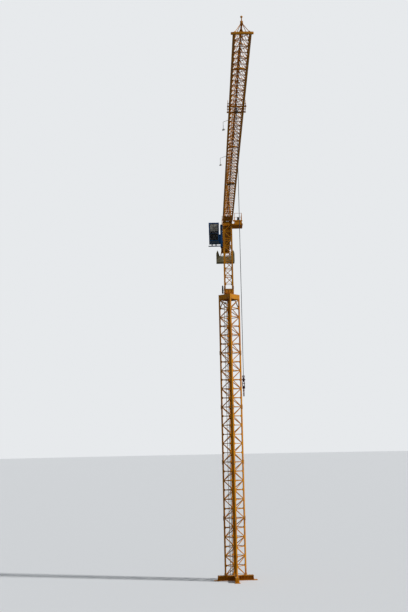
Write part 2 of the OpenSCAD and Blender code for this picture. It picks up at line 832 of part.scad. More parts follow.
end_bar = 60;
end_bar_w = 650;
end_bow = 18;
post_up = 141;
knob_r = 35;
drops_x = [-80, 3];
drop_w = 26;
drop_h = 112;
module jib_end_frame() {
    color("orange") {
        translate([0, -jib_l - touch, jib_z - end_bar / 2])
            linear_extrude(end_bar)
                polygon(concat(
                    [[end_bar_w / 2 - 30, 0], [-end_bar_w / 2 + 30, 0]],
                    [for (a = [90:15:180]) [-end_bar_w / 2 + 30 + 30 * cos(a), -30 + 30 * sin(a)]],
                    [for (t = [-1:0.1:1]) [t * (end_bar_w / 2 - 12), -end_bar + 6 - end_bow * (1 - t * t)]],
                    [for (a = [0:15:90]) [end_bar_w / 2 - 30 + 30 * cos(a), -30 + 30 * sin(a)]]));
        translate([-14, -top_end - 28 - touch, top_z - top_chord / 2])
            cube([28, 28, post_up + top_chord / 2]);
        translate([-40, -top_end - 10 - touch, top_z - top_chord / 2 + touch])
            cube([80, 10, top_chord + 30]);
        translate([0, -top_end - 14 - touch, top_z + post_up + knob_r * 0.8])
            rotate_extrude($fn = 64)
                polygon(concat([[0, -knob_r]], [for (a = [-75:15:75]) knob_r * [cos(a), sin(a)]], [[0, knob_r]]));
        for (x = drops_x)
            translate([x - drop_w / 2, -jib_l - end_bar * 0.75, jib_z - end_bar / 2 - drop_h])
                cube([drop_w, 24, drop_h + 1]);
    }
}

root_y = 480;
root_sheave_r = 44;
root_z = rope_z + rope_r + root_sheave_r;
module jib_root_sheave() {
    beam_y = -root_y + root_sheave_r + 2 * rope_r + 14;
    color("dimgray") {
        translate([0, -root_y, root_z]) {
            sheave(root_sheave_r, 24);
            rotate([0, 90, 0])
                cylinder(h = 36, r = 14, center = true, $fn = 32);
        }
        translate([-(jib_w - chord) / 2 + touch, beam_y, jib_z - chord / 2])
            cube([jib_w - chord - 2 * touch, 40, chord]);
        for (x = [-1, 1])
            translate([x * 22 - 4, 0, 0])
                rotate([90, 0, 90])
                    linear_extrude(8)
                        polygon(rounded([[-root_y - 26, root_z - 24], [beam_y + 1, jib_z - chord / 2],
                                         [beam_y + 1, jib_z + chord / 2], [-root_y - 26, root_z + 24]],
                                        [20, 0, 0, 20]));
    }
}

tie_r = 14;
tie_x = 28;
tie_stations = [30, 48];
tie_drops = [80, 30];
tie_pin_y = apex_block[1] / 2 - 25;
pin_from = 16;
// The two pins that a pair of tie bars hangs on, one on each apex plate
module apex_pins(y, drop) {
    both_sides()
        translate([pin_from, y, apex_z - drop])
            rotate([0, 90, 0])
                cylinder(h = apex_gap / 2 - touch - pin_from, r = 12, $fn = 32);
}
// The lug on the top chord that a tie bar ends in
module tie_lug(x, y) {
    translate([x - tie_r, y - 60, top_z + top_chord / 2 + splice[1] + touch])
        cube([2 * tie_r, 120, 2 * tie_r]);
}
module jib_tie_bars() {
    color("darkgoldenrod")
        for (i = [0:1]) {
            foot_y = -jib_start - (tie_stations[i] + 0.5) * jib_panel;
            apex_pins(-tie_pin_y, tie_drops[i]);
            for (x = [-tie_x, tie_x]) {
                bar([x, -tie_pin_y, apex_z - tie_drops[i]],
                    [x, foot_y, top_z + top_chord / 2 + splice[1] + touch + tie_r], tie_r, 6);
                tie_lug(x, foot_y);
            }
            translate([-tie_x, foot_y - 60, top_z + top_chord / 2 + touch])
                cube([2 * tie_x, 120, 2 * tie_r]);
        }
}

// A rope drum that lies along X, with flanges and the turns of the rope wound on it
module drum(r, w, flange_r, turn) {
    count = floor((w - 2 * turn) / turn);
    wound = [for (i = [0:count - 1]) each [[r, turn + i * turn], [r + turn / 3, turn + (i + 0.5) * turn]]];
    translate([-w / 2, 0, 0])
        rotate([0, 90, 0])
            rotate_extrude($fn = 72)
                polygon(concat([[0, 0], [flange_r, 0], [flange_r, turn * 0.7], [r, turn]], wound,
                               [[r, w - turn], [flange_r, w - turn * 0.7], [flange_r, w], [0, w]]));
}

// A ribbed electric motor that lies along X
module motor(r, l) {
    n = floor(l / (2 * fin_gap));
    ribs = [for (i = [0:n - 1]) each [[r, i * 2 * fin_gap], [r, (i * 2 + 1) * fin_gap],
                                      [r * 0.88, (i * 2 + 1) * fin_gap], [r * 0.88, (i * 2 + 2) * fin_gap]]];
    rotate([0, 90, 0])
        rotate_extrude($fn = 64)
            polygon(concat([[0, 0]], ribs, [[r, n * 2 * fin_gap], [r, l], [r * 0.7, l + 12], [0, l + 12]]));
}

winch_y = -7426;
module trolley_winch() {
    color([0.16, 0.16, 0.18])
        translate([0, winch_y, jib_z + jib_lacing_t / 2 + touch]) {
            translate([-170, -70, 0])
                cube([340, 140, 12]);
            translate([-20, 0, 78]) drum(42, 130, 60, 10);
            translate([45, 0, 78])
                rotate([0, 90, 0])
                    cylinder(h = 20, r = 14, $fn = 32);
            translate([60, -44, 11])
                cube([40, 88, 112]);
            translate([99, 0, 70]) motor(34, 40);
            translate([-100, 0, 0])
                rotate([90, 0, 90])
                    linear_extrude(16)
                        polygon(rounded([[-50, 11], [50, 11], [24, 104], [-24, 104]], [0, 0, 18, 18]));
        }
}

lamp_spots = [[-482, -10444], [-422, -14747]];
lamp_arm_r = 8;
lamp_pad = 10;
lamp_elbow = 280;
lamp_body = [56, 62];
module floodlights() {
    color("darkkhaki")
        for (p = lamp_spots) {
            translate([p[0], p[1], jib_z + lamp_body[1] / 2 - 8])
                rotate([20, -14, 0])
                    rotate_extrude($fn = 48)
                        polygon([[0, 0], [lamp_body[0] * 0.5, 0], [lamp_body[0] * 0.62, -10],
                                 [lamp_body[0] * 0.9, -lamp_body[1] * 0.6], [lamp_body[0], -lamp_body[1] * 0.64],
                                 [lamp_body[0], -lamp_body[1]], [lamp_body[0] * 0.86, -lamp_body[1]],
                                 [lamp_body[0] * 0.8, -lamp_body[1] * 0.9], [0, -lamp_body[1] * 0.88]]);
            bar([p[0], p[1], jib_z + lamp_body[1] / 2 - 16], [p[0], p[1], jib_z + lamp_elbow + 6], lamp_arm_r);
            bar([p[0], p[1], jib_z + lamp_elbow], [-top_chord / 2 - lamp_pad, p[1], top_z - 5], lamp_arm_r);
            translate([-top_chord / 2 - touch - lamp_pad, p[1] - 30, top_z - top_chord / 2])
                cube([lamp_pad, 60, top_chord]);
        }
}

// Counter-jib

girder_h = 90;
girder_w = 44;
web_t = 12;
flange_t = 14;
beam_gap = 600;
ballast_y = counter_l - ballast_inset;
tie_foot_y = ballast_y - 700;
lug_t = 16;
lug_h = 70;
// A rolled steel girder along Y, standing on its lower flange
module girder(l) {
    rotate([90, 0, 180])
        linear_extrude(l)
            polygon([[-girder_w / 2, 0], [girder_w / 2, 0], [girder_w / 2, flange_t], [web_t / 2, flange_t],
                     [web_t / 2, girder_h - flange_t], [girder_w / 2, girder_h - flange_t],
                     [girder_w / 2, girder_h], [-girder_w / 2, girder_h], [-girder_w / 2, girder_h - flange_t],
                     [-web_t / 2, girder_h - flange_t], [-web_t / 2, flange_t], [-girder_w / 2, flange_t]]);
}
module counter_jib_frame() {
    inner = jib_w - girder_w;
    count = floor((counter_l - tower_out - 300) / beam_gap);
    color("orange") {
        both_sides()
            translate([jib_w / 2, tower_out + touch, jib_z - girder_h / 2])
                girder(counter_l - tower_out - touch);
        for (i = [0:count]) {
            translate([-jib_w / 2, tower_out + 250 + i * beam_gap, jib_z - 40])
                cube([jib_w, 40, 60]);
            both_sides()
                translate([jib_w / 2 - girder_w / 2, tower_out + 266 + i * beam_gap, jib_z - girder_h / 2 + 1])
                    cube([girder_w, 8, girder_h - 2]);
        }
        translate([-inner / 2 - 1, tower_out + 270, jib_z - 34])
            lacing(inner + 2, 0, strip, beam_gap, count, 30, 10);
        translate([-jib_w / 2, counter_l - 50, jib_z - girder_h / 2])
            cube([jib_w, 50, girder_h]);
    }
}

walk_t = 12;
walk_w = jib_w - girder_w - 2 * touch;
walk_rails = [310, 540];
walk_post_gap = 900;
module counter_jib_walkway() {
    side_x = jib_w / 2 + girder_w / 2 + touch + rail_r;
    from = tower_out + 200;
    to = tie_foot_y - 60;
    gaps = floor((to - from) / walk_post_gap);
    color("darkorange") {
        difference() {
            translate([-walk_w / 2, tower_out + touch, jib_z + 20 + touch])
                cube([walk_w, counter_l - tower_out - 60, walk_t]);
            for (i = [0:19])
                translate([-walk_w / 2 + 20, tower_out + 20 + i * (counter_l - tower_out - 80) / 20,
                           jib_z + 20 + walk_t - 3])
                    cube([walk_w - 40, (counter_l - tower_out - 80) / 20 - 20, 4]);
        }
        both_sides() {
            for (i = [0:gaps])
                let (y = from + i * (to - from) / gaps)
                bar([side_x, y, jib_z - girder_h / 2], [side_x, y, jib_z + walk_rails[1]], rail_r);
            for (z = walk_rails)
                bar([side_x, from, jib_z + z], [side_x, to, jib_z + z], rail_r * 0.8);
        }
    }
}

counter_tie_drop = 60;
counter_tie_x = 24;
module counter_jib_ties() {
    foot_x = jib_w / 2 + girder_w / 2 - lug_t - tie_r;
    color("darkgoldenrod") {
        apex_pins(tie_pin_y, counter_tie_drop);
        both_sides() {
            bar([counter_tie_x, tie_pin_y, apex_z - counter_tie_drop],
                [foot_x, tie_foot_y, jib_z + girder_h / 2 + lug_h / 2], tie_r, 6);
            translate([foot_x + tie_r - lug_t / 2, tie_foot_y - 40, jib_z + girder_h / 2 + touch])
                cube([lug_t, 80, lug_h]);
            translate([foot_x, tie_foot_y, jib_z + girder_h / 2 + lug_h / 2])
                rotate([0, 90, 0])
                    cylinder(h = tie_r + lug_t, r = 12, $fn = 32);
        }
    }
}

hoist_y = 4300;
hoist_drum_r = 96;
hoist_axis_z = jib_z + 20 + walk_t + 180;
module hoist_winch() {
    color([0.3, 0.32, 0.34])
        translate([0, hoist_y, jib_z + 20 + walk_t + 2 * touch]) {
            for (x = [-190, 150])
                translate([x, -420, 0])
                    cube([40, 840, 30]);
            for (y = [-420, -60, 380])
                translate([-190, y, 0])
                    cube([380, 40, 30]);
            translate([0, 0, 180]) drum(hoist_drum_r, 280, 134, 2 * rope_r);
            translate([-190, 0, 180])
                rotate([0, 90, 0])
                    cylinder(h = 380, r = 22, $fn = 32);
            for (x = [-190, 160])
                translate([x, 0, 0])
                    rotate([90, 0, 90])
                        linear_extrude(30)
                            polygon(rounded([[-110, 29], [110, 29], [44, 236], [-44, 236]], [0, 0, 40, 40]));
            translate([-60, -300, 118]) motor(78, 190);
            translate([-160, -380, 29])
                cube([101, 160, 190]);
            translate([0, -330, 29])
                cube([70, 60, 24]);
        }
}

function slab_spot(i) = ballast_y + (i - (slabs - 1) / 2) * (slab_t + 14);
ear_x = [455, 485];
ear_up = 155;
dip_x = 350;
dip_h = 190;
ballast_z = jib_z - 748;
module ballast_slabs() {
    half = ballast_w / 2;
    right = [[half, 0], [half, ballast_h], [ear_x[1], ballast_h + ear_up], [ear_x[0], ballast_h + ear_up],
             [dip_x, ballast_h - dip_h]];
    left = [for (i = [4:-1:0]) [-right[i][0], right[i][1]]];
    radii = [24, 20, 10, 10, 40];
    color([0.42, 0.4, 0.32])
        for (i = [0:slabs - 1])
            translate([0, slab_spot(i) + slab_t / 2, ballast_z])
                rotate([90, 0, 0])
                    linear_extrude(slab_t)
                        polygon(rounded(concat(right, left), concat(radii, [for (k = [4:-1:0]) radii[k]])));
}

hanger_x = [jib_w / 2, 292];
hanger_w = 44;
hanger_t = 16;
module ballast_hangers() {
    top = jib_z - girder_h / 2 - touch;
    low = ballast_z + ballast_h - dip_h + touch;
    color("darkgoldenrod")
        for (i = [0:slabs - 1])
            both_sides()
                translate([0, slab_spot(i), 0]) {
                    translate([0, hanger_t / 2, 0])
                        rotate([90, 0, 0])
                            linear_extrude(hanger_t)
                                polygon([[hanger_x[0] - hanger_w / 2, top], [hanger_x[1] - hanger_w / 2, low],
                                         [hanger_x[1] + hanger_w / 2, low], [hanger_x[0] + hanger_w / 2, top]]);
                    translate([hanger_x[0] - 22, -40, top - 12])
                        cube([44, 80, 12]);
                    translate([hanger_x[1] - 32, -40, low])
                        cube([56, 80, 12]);
                }
}

// Trolley and hook

cheek_x = 50;
cheek_t = 10;
block_sheave_r = 68;
fall_y = block_sheave_r + rope_r;
sheave_y = fall_y + rope_r + sheave_r;
ledge_top = jib_z - chord / 2 + 8;
wheel_w = 14;
wheel_x = jib_w / 2 + chord / 2 + 5 + wheel_w / 2;
beam_top = rope_z - rope_r - 6;
beam = [50, 34];
side_in = 300;
side_t = 12;
post_h = 215;
module trolley_frame() {
    low = beam_top - beam[1] - jib_z;
    color("darkgoldenrod")
        translate([0, -trolley_y, 0]) {
            for (s = [-1, 1])
                translate([-trolley_w / 2, s * wheelbase / 2 - beam[0] / 2, beam_top - beam[1]])
                    difference() {
                        cube([trolley_w, beam[0], beam[1]]);
                        for (y = [-1, beam[0] - 14])
                            translate([20, y, 7])
                                cube([trolley_w - 40, 15, beam[1] - 14]);
                    }
            both_sides()
                translate([side_in, 0, jib_z])
                    rotate([90, 0, 90])
                        linear_extrude(side_t)
                            polygon(rounded(
                                [[-wheelbase / 2 - 60, low], [wheelbase / 2 + 60, low],
                                 [wheelbase / 2 + 60, 0], [wheelbase / 2 + 30, 66], [wheelbase / 2 - 40, 66],
                                 [wheelbase / 2 - 90, -30], [-wheelbase / 2 + 90, -30], [-wheelbase / 2 + 36, 66],
                                 [-wheelbase / 2 + 14, low + post_h + 30], [-wheelbase / 2 - 20, low + post_h + 30],
                                 [-wheelbase / 2 - 60, 20]],
                                [16, 16, 12, 20, 20, 30, 30, 30, 8, 8, 40]));
        }
}

// A length of rope that lies in a sheave's groove, from one angle over a sweep
module rope_bend(r, from, sweep) {
    rotate([90, 0, 90])
        rotate([0, 0, from])
            rotate_extrude(angle = sweep, $fn = 64)
                translate([r, 0])
                    circle(r = rope_r, $fn = 24);
}

// Where a bend leaves the straight rope above it
bend_gap = acos(1 - (2 * rope_r + touch) / (sheave_r + rope_r));
module trolley_sheaves() {
    color("dimgray")
        translate([0, -trolley_y, sheave_z]) {
            for (s = [-1, 1])
                translate([0, s * sheave_y, 0]) {
                    sheave(sheave_r, 24);
                    rotate([0, 90, 0])
                        cylinder(h = 2 * cheek_x + 2 * cheek_t, r = 10, center = true, $fn = 32);
                }
            rope_side(1);
            rope_side(-1);
            for (x = [-1, 1])
                translate([x * cheek_x - cheek_t / 2, 0, 0])
                    rotate([90, 0, 90])
                        pierced(rounded([[-cheek_l, -60], [cheek_l, -60], [cheek_l, 62], [-cheek_l, 62]],
                                        [40, 40, 0, 0]),
                                [rounded([[-48, -34], [48, -34], [48, 36], [-48, 36]], [16, 16, 16, 16])],
                                cheek_t);
        }
}
module rope_side(s) {
    translate([0, s * sheave_y, 0])
        mirror(s > 0 ? [0, 0, 0] : [0, 1, 0])
            rope_bend(sheave_r + rope_r, 90 + bend_gap, 90 - bend_gap);
}

module trolley_wheels() {
    color("dimgray")
        translate([0, -trolley_y, ledge_top + touch + wheel_r])
            both_sides()
                for (s = [-1, 1])
                    translate([wheel_x - wheel_w / 2, s * wheelbase / 2, 0])
                        rotate([0, 90, 0])
                            rotate_extrude($fn = 64)
                                polygon([[0, 0], [wheel_r, 0], [wheel_r, wheel_w], [wheel_r * 0.85, wheel_w],
                                         [wheel_r * 0.8, wheel_w * 0.7], [wheel_r * 0.45, wheel_w * 0.7],
                                         [wheel_r * 0.4, wheel_w + 6], [12, wheel_w + 6],
                                         [12, side_in - wheel_x + wheel_w / 2 - touch],
                                         [0, side_in - wheel_x + wheel_w / 2 - touch]]);
}

block_top = hook_z + block_h;
block_axle_z = block_top - 150;
module hoist_ropes() {
    color([0.1, 0.1, 0.1])
        for (y = [-1, 1])
            translate([0, -trolley_y + y * fall_y, block_axle_z + touch])
                cylinder(h = sheave_z - block_axle_z - 2 * touch, r = rope_r, $fn = 16);
}

// The hoist rope from its drum over the tower head, down to the jib's root and out to its tip
module hoist_rope_lead() {
    drum_at = [hoist_y, hoist_axis_z];
    apex_at = [0, apex_sheave_z];
    root_at = [-root_y, root_z];
    wound_r = hoist_drum_r + 2 * rope_r / 3 + touch;
    back = run_between(drum_at, wound_r + rope_r, apex_at, apex_sheave_r + rope_r, -1);
    down = run_between(apex_at, apex_sheave_r + rope_r, root_at, -root_sheave_r - rope_r, -1);
    module run(ends) {
        d = unit(ends[1] - ends[0]) * touch;
        bar([0, ends[0][0] + d[0], ends[0][1] + d[1]], [0, ends[1][0] - d[0], ends[1][1] - d[1]], rope_r, 16);
    }
    module bend(at, r, from, to) {
        a = atan2(from[1] - at[1], from[0] - at[0]);
        b = atan2(to[1] - at[1], to[0] - at[0]);
        translate([0, at[0], at[1]])
            rope_bend(r + rope_r, min(a, b), abs(b - a));
    }
    color([0.1, 0.1, 0.1]) {
        run(back);
        bend(apex_at, apex_sheave_r, back[1], down[0]);
        run(down);
        bend(root_at, root_sheave_r, down[1], [-root_y, rope_z]);
        run([[-root_y, rope_z], [-jib_l - end_bar * 0.75 + 24 + 2 * touch, rope_z]]);
    }
}

cross_head = [40, 84, 64];
shank_r = 13;
nut_r = 18;
module hook_block() {
    cheek = rounded([[-50, 0], [50, 0], [112, 150], [112, block_h - 90], [60, block_h], [-60, block_h],
                     [-112, block_h - 90], [-112, 150]],
                    [14, 14, 50, 60, 40, 40, 60, 50]);
    weight = rounded([[-44, 14], [44, 14], [96, 150], [96, 230], [-96, 230], [-96, 150]],
                     [10, 10, 30, 20, 20, 30]);
    color([0.35, 0.02, 0.08])
        translate([0, -trolley_y, hook_z]) {
            both_sides() {
                translate([20, 0, 0])
                    rotate([90, 0, 90])
                        linear_extrude(10)
                            polygon(cheek);
                translate([29, 0, 0])
                    rotate([90, 0, 90])
                        linear_extrude(11)
                            polygon(weight);
                translate([-1, 0, block_h - 150])
                    rotate([0, 90, 0])
                        cylinder(h = 43, r = 22, $fn = 48);
                for (y = [-1, 1], z = [185, block_h - 40])
                    translate([0, y * 46, z])
                        rotate([0, 90, 0])
                            cylinder(h = 36, r = 9, $fn = 24);
            }
            translate([0, 0, block_h - 150]) {
                sheave(block_sheave_r, 26);
                rope_bend(block_sheave_r + rope_r, 180, 180);
            }
            difference() {
                translate([-cross_head[0] / 2 - 1, -cross_head[1] / 2, 16])
                    cube([cross_head[0] + 2, cross_head[1], cross_head[2]]);
                cylinder(h = 120, r = shank_r + touch, $fn = 48);
            }
        }
}

throat_r = 50;
bowl_z = -145;
// The hook's thickness at an angle round its throat, which grows to the bottom and tapers to the tip
function hook_t(a) = a < -90 ? 26 + 20 * (a + 225) / 135 : 46 - 38 * pow((a + 90) / 140, 1.4);
module hook() {
    from = -225;
    to = 50;
    step = 5;
    module bowl(less, w) {
        rotate([90, 0, 90])
            linear_extrude(w, center = true)
                polygon(concat(
                    [for (a = [from:step:to]) (throat_r + hook_t(a) - less) * [cos(a), sin(a)]],
                    [for (a = [to:-step:from]) (throat_r + less / 2) * [cos(a), sin(a)]]));
    }
    color([0.35, 0.02, 0.08])
        translate([0, -trolley_y, hook_z - touch]) {
            rotate_extrude($fn = 48)
                polygon([[0, bowl_z + throat_r + 10], [24, bowl_z + throat_r + 10], [26, -44], [18, -18], [18, 0],
                         [shank_r, 0], [shank_r, 16 + cross_head[2] + 2 * touch],
                         [nut_r, 16 + cross_head[2] + 2 * touch], [nut_r, 40 + cross_head[2]],
                         [shank_r * 0.8, 44 + cross_head[2]], [0, 44 + cross_head[2]]]);
            translate([0, 0, bowl_z]) {
                bowl(0, 26);
                bowl(5, 36);
            }
            translate([0, -30, bowl_z + throat_r + 12])
                rotate([90, 0, 90])
                    linear_extrude(8, center = true)
                        polygon([[0, 0], [64, -30], [68, -24], [14, 14]]);
        }
}

base_cross();
mast_legs();
mast_near_left_side();
mast_near_right_side();
mast_far_left_side();
mast_far_right_side();
mast_ladder();
mast_collar();
slewing_ring_lower();
turntable();
slewing_motor();
tower_legs();
tower_front_side();
tower_rear_side();
tower_left_side();
tower_right_side();
tower_ladder();
tower_head();
apex_sheave();
cab_shell();
cab_glazing();
cab_seat();
cab_mount_frame();
service_platform();
platform_railing();
platform_control_box();
jib_bottom_chords();
jib_top_chord();
jib_left_side();
jib_right_side();
jib_bottom_bracing();
jib_cross_beams();
jib_end_frame();
jib_root_sheave();
jib_tie_bars();
trolley_winch();
floodlights();
hoist_rope_lead();
counter_jib_frame();
counter_jib_walkway();
counter_jib_ties();
hoist_winch();
ballast_hangers();
ballast_slabs();
trolley_frame();
trolley_wheels();
trolley_sheaves();
hoist_ropes();
hook_block();
hook();
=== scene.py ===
import json
import math

import bpy
import numpy as np
from mathutils import Matrix, Vector


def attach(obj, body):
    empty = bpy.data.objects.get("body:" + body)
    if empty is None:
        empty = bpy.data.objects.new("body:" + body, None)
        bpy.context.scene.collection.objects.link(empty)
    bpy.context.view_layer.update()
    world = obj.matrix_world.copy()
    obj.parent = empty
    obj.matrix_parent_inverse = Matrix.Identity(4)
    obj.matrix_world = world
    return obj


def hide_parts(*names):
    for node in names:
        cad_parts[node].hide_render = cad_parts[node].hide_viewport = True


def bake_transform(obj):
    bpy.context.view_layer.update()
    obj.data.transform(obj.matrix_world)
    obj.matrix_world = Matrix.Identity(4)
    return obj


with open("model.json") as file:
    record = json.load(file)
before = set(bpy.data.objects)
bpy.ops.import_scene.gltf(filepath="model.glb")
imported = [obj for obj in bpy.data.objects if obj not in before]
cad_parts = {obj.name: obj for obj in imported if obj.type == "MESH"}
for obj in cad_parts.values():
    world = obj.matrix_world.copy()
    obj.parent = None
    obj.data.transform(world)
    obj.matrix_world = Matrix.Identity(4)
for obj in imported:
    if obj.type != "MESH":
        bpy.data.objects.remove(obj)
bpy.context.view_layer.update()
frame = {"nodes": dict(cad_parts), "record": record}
nodes = frame["nodes"]

# The camera stands where the photograph was taken from, low and almost in line with the jib.
# Its place, aim and lens were worked out from the mast, tower and jib corners in the picture.
LENS_PIXELS, FRAME_HEIGHT_PIXELS = 899.126, 612
FAR_END = 1000.0
EYE = Vector((-1.12959, -46.65563, 6.99063))
YAW, PITCH, ROLL = (math.radians(a) for a in (-0.24176, 8.48084, -1.13489))

forward = Vector((math.sin(YAW) * math.cos(PITCH), math.cos(YAW) * math.cos(PITCH), math.sin(PITCH)))
level_right = Vector((math.cos(YAW), -math.sin(YAW), 0.0))
level_up = level_right.cross(forward)
right = math.cos(ROLL) * level_right + math.sin(ROLL) * level_up
up = -math.sin(ROLL) * level_right + math.cos(ROLL) * level_up

lens = bpy.data.cameras.new("photo_lens")
lens.sensor_width = 36.0
lens.lens = LENS_PIXELS * lens.sensor_width / FRAME_HEIGHT_PIXELS
lens.clip_end = FAR_END
camera = bpy.data.objects.new("photo_view", lens)
bpy.context.scene.collection.objects.link(camera)
turn = Matrix((right, up, -forward)).transposed()
camera.matrix_world = Matrix.Translation(EYE) @ turn.to_4x4()
bpy.context.scene.camera = camera
bpy.context.scene.view_settings.view_transform = "Standard"


# A sun from the right, half way up, as in the photograph, and a dim even light from all round that
# fills the shadows. What shows behind the crane, through its glass and in its metal is pale grey.
SUN_TO_RIGHT, SUN_TO_FRONT, SUN_UP = 0.80, -0.22, 0.56
SUN_STRENGTH, SUN_WIDTH_DEGREES = 3.2, 3
SKY_STRENGTH, SKY_BLUE = 0.23, (0.86, 0.93, 1.0, 1.0)
PALE = (0.80, 0.82, 0.84, 1.0)

sun = bpy.data.lights.new("soft_sun", "SUN")
sun.energy = SUN_STRENGTH
sun.angle = math.radians(SUN_WIDTH_DEGREES)
sun_object = bpy.data.objects.new("soft_sun", sun)
bpy.context.scene.collection.objects.link(sun_object)
sun_object.rotation_euler = Vector((SUN_TO_RIGHT, SUN_TO_FRONT, SUN_UP)).to_track_quat("Z", "Y").to_euler()


def feed(shader, inputs):
    """Each named input of a shader node is linked where its value is another node's output, or else set."""
    for key, value in inputs.items():
        if isinstance(value, bpy.types.NodeSocket):
            shader.id_data.links.new(value, shader.inputs[key])
        else:
            shader.inputs[key].default_value = value


def new_node(tree, kind, output, inputs, **settings):
    """One output of a new shader node, whose settings are made before its inputs are fed."""
    made = tree.nodes.new("ShaderNode" + kind)
    for key, value in settings.items():
        setattr(made, key, value)
    feed(made, inputs)
    return made.outputs[output]


sky = bpy.data.worlds.new("pale_sky")
bpy.context.scene.world = sky
sky.use_nodes = True
sky_tree = sky.node_tree
sky_tree.nodes.clear()
shown = 0.0
for ray in ("Is Camera Ray", "Is Transmission Ray", "Is Glossy Ray"):
    ray_seen = new_node(sky_tree, "LightPath", ray, {})
    shown = new_node(sky_tree, "Math", 0, {0: shown, 1: ray_seen}, operation="MAXIMUM")
fill = new_node(sky_tree, "Background", 0, {"Color": SKY_BLUE, "Strength": SKY_STRENGTH})
backdrop = new_node(sky_tree, "Background", 0, {"Color": PALE})
air = new_node(sky_tree, "MixShader", 0, {"Fac": shown, 1: fill, 2: backdrop})
feed(sky_tree.nodes.new("ShaderNodeOutputWorld"), {"Surface": air})


# The floor is a wide pale disc, level with the foundation, that takes the crane's shadow. It
# throws little light back up, so that the undersides stay as dark as in the photograph.
FLOOR_RADIUS, FLOOR_SIDES, FLOOR_ROUGHNESS = 400.0, 96, 0.95
FLOOR_PALE = (0.78, 0.79, 0.80, 1)
FLOOR_DARK = (0.15, 0.15, 0.12, 1)
around = np.linspace(0, 2 * np.pi, FLOOR_SIDES, endpoint=False)
rim = FLOOR_RADIUS * np.column_stack([np.cos(around), np.sin(around), np.zeros(FLOOR_SIDES)])
disc = bpy.data.meshes.new("pale_floor")
disc.from_pydata(rim.tolist(), [], [list(range(FLOOR_SIDES))])
floor = bpy.data.objects.new("pale_floor", disc)
bpy.context.scene.collection.objects.link(floor)
floor_paint = bpy.data.materials.new("pale_floor")
floor_paint.use_nodes = True
floor_tree = floor_paint.node_tree
floor_seen = new_node(floor_tree, "LightPath", "Is Camera Ray", {})
floor_tone = new_node(floor_tree, "Mix", "Result", {"Factor": floor_seen, "A": FLOOR_DARK, "B": FLOOR_PALE},
                      data_type="RGBA")
feed(floor_tree.nodes["Principled BSDF"], {"Base Color": floor_tone, "Roughness": FLOOR_ROUGHNESS})
disc.materials.append(floor_paint)


# Weathered paint for all the steel: faded patches, streaks that run down, small rusty chips, and
# edges rubbed back, with an uneven sheen and a fine relief. One helper makes every colour.
PAINT_GRAIN = 9.0
PAINT_GLOSS = 0.18
EDGE_RADIUS, EDGE_WEAR = 0.004, 0.35


def opaque(colour, share=1.0):
    """A colour as four numbers, made darker by a share under 1 or lighter by one over 1."""
    return (*[c * share for c in colour], 1.0)


def grey(value):
    """An opaque grey of the given value."""
    return (value, value, value, 1)


def ramp(tree, source, stops):
    """A colour ramp over the source, through the given (place, colour) stops."""
    colour = new_node(tree, "ValToRGB", "Color", {"Fac": source})
    elements = colour.node.color_ramp.elements
    elements[0].position, elements[0].color = stops[0]
    elements[1].position, elements[1].color = stops[-1]
    for place, tone in stops[1:-1]:
        elements.new(place).color = tone
    return colour


def noise(tree, at, scale, detail, rough=0.5):
    """Soft noise with about as many patches in a metre as its scale, and detail finer layers over them."""
    patches = {"Vector": at, "Scale": scale, "Detail": detail, "Roughness": rough}
    return new_node(tree, "TexNoise", "Fac", patches)


def mixed(tree, factor, a, b, **settings):
    """Colour a, turned into colour b as far as the factor says."""
    return new_node(tree, "Mix", "Result", {"Factor": factor, "A": a, "B": b}, data_type="RGBA", **settings)


def blank(name):
    """A new material with its nodes, its shader, and the place on the object in metres."""
    material = bpy.data.materials.new(name)
    material.use_nodes = True
    tree = material.node_tree
    return material, tree, tree.nodes["Principled BSDF"], new_node(tree, "TexCoord", "Object", {})


def paint(name, colour, faded, rust=(0.13, 0.045, 0.015), metallic=0.0, rough=(0.38, 0.62), chips=0.68):
    """A painted surface. The colour is mix(colour, faded) by soft patches, darkened by streaks that are
    ten times longer than wide, then rust where a fine noise passes the chips level, then a paler edge
    where a bevelled normal leaves the true one."""
    material, tree, shader, at = blank(name)
    patches = noise(tree, at, PAINT_GRAIN * 0.35, 7.0)
    broad = noise(tree, at, PAINT_GRAIN * 0.06, 3.0)
    both = new_node(tree, "Math", 0, {0: broad, 1: patches}, operation="ADD")
    tone = ramp(tree, both, [(0.78, opaque(faded)), (1.0, opaque(colour))])
    long_grain = (PAINT_GRAIN * 4, PAINT_GRAIN * 4, PAINT_GRAIN * 0.4)
    down = new_node(tree, "Mapping", "Vector", {"Vector": at, "Scale": long_grain})
    streaks = noise(tree, down, 1.0, 4.0)
    wet = ramp(tree, streaks, [(0.50, grey(0.0)), (0.74, grey(0.5))])
    grimy = mixed(tree, wet, tone, opaque(faded, 0.4))
    spots = noise(tree, at, PAINT_GRAIN * 5, 8.0, 0.7)
    chipped = ramp(tree, spots, [(chips, grey(0.0)), (chips + 0.03, grey(1.0))])
    rusty = mixed(tree, chipped, grimy, opaque(rust))
    rounded = new_node(tree, "Bevel", "Normal", {"Radius": EDGE_RADIUS}, samples=4)
    true = new_node(tree, "NewGeometry", "Normal", {})
    agree = new_node(tree, "VectorMath", "Value", {0: rounded, 1: true}, operation="DOT_PRODUCT")
    rubbed = ramp(tree, agree, [(0.82, grey(EDGE_WEAR)), (0.97, grey(0.0))])
    edge = (*[min(1.0, c * 1.35 + 0.03) for c in faded], 1)
    sheen = new_node(tree, "MapRange", "Result", {"Value": patches, "To Min": rough[0], "To Max": rough[1]})
    relief = {"Height": spots, "Normal": rounded, "Strength": 0.25, "Distance": 0.002}
    feed(shader, {"Base Color": mixed(tree, rubbed, rusty, edge), "Roughness": sheen,
                  "Normal": new_node(tree, "Bump", "Normal", relief), "Metallic": metallic,
                  "Specular IOR Level": PAINT_GLOSS})
    return material


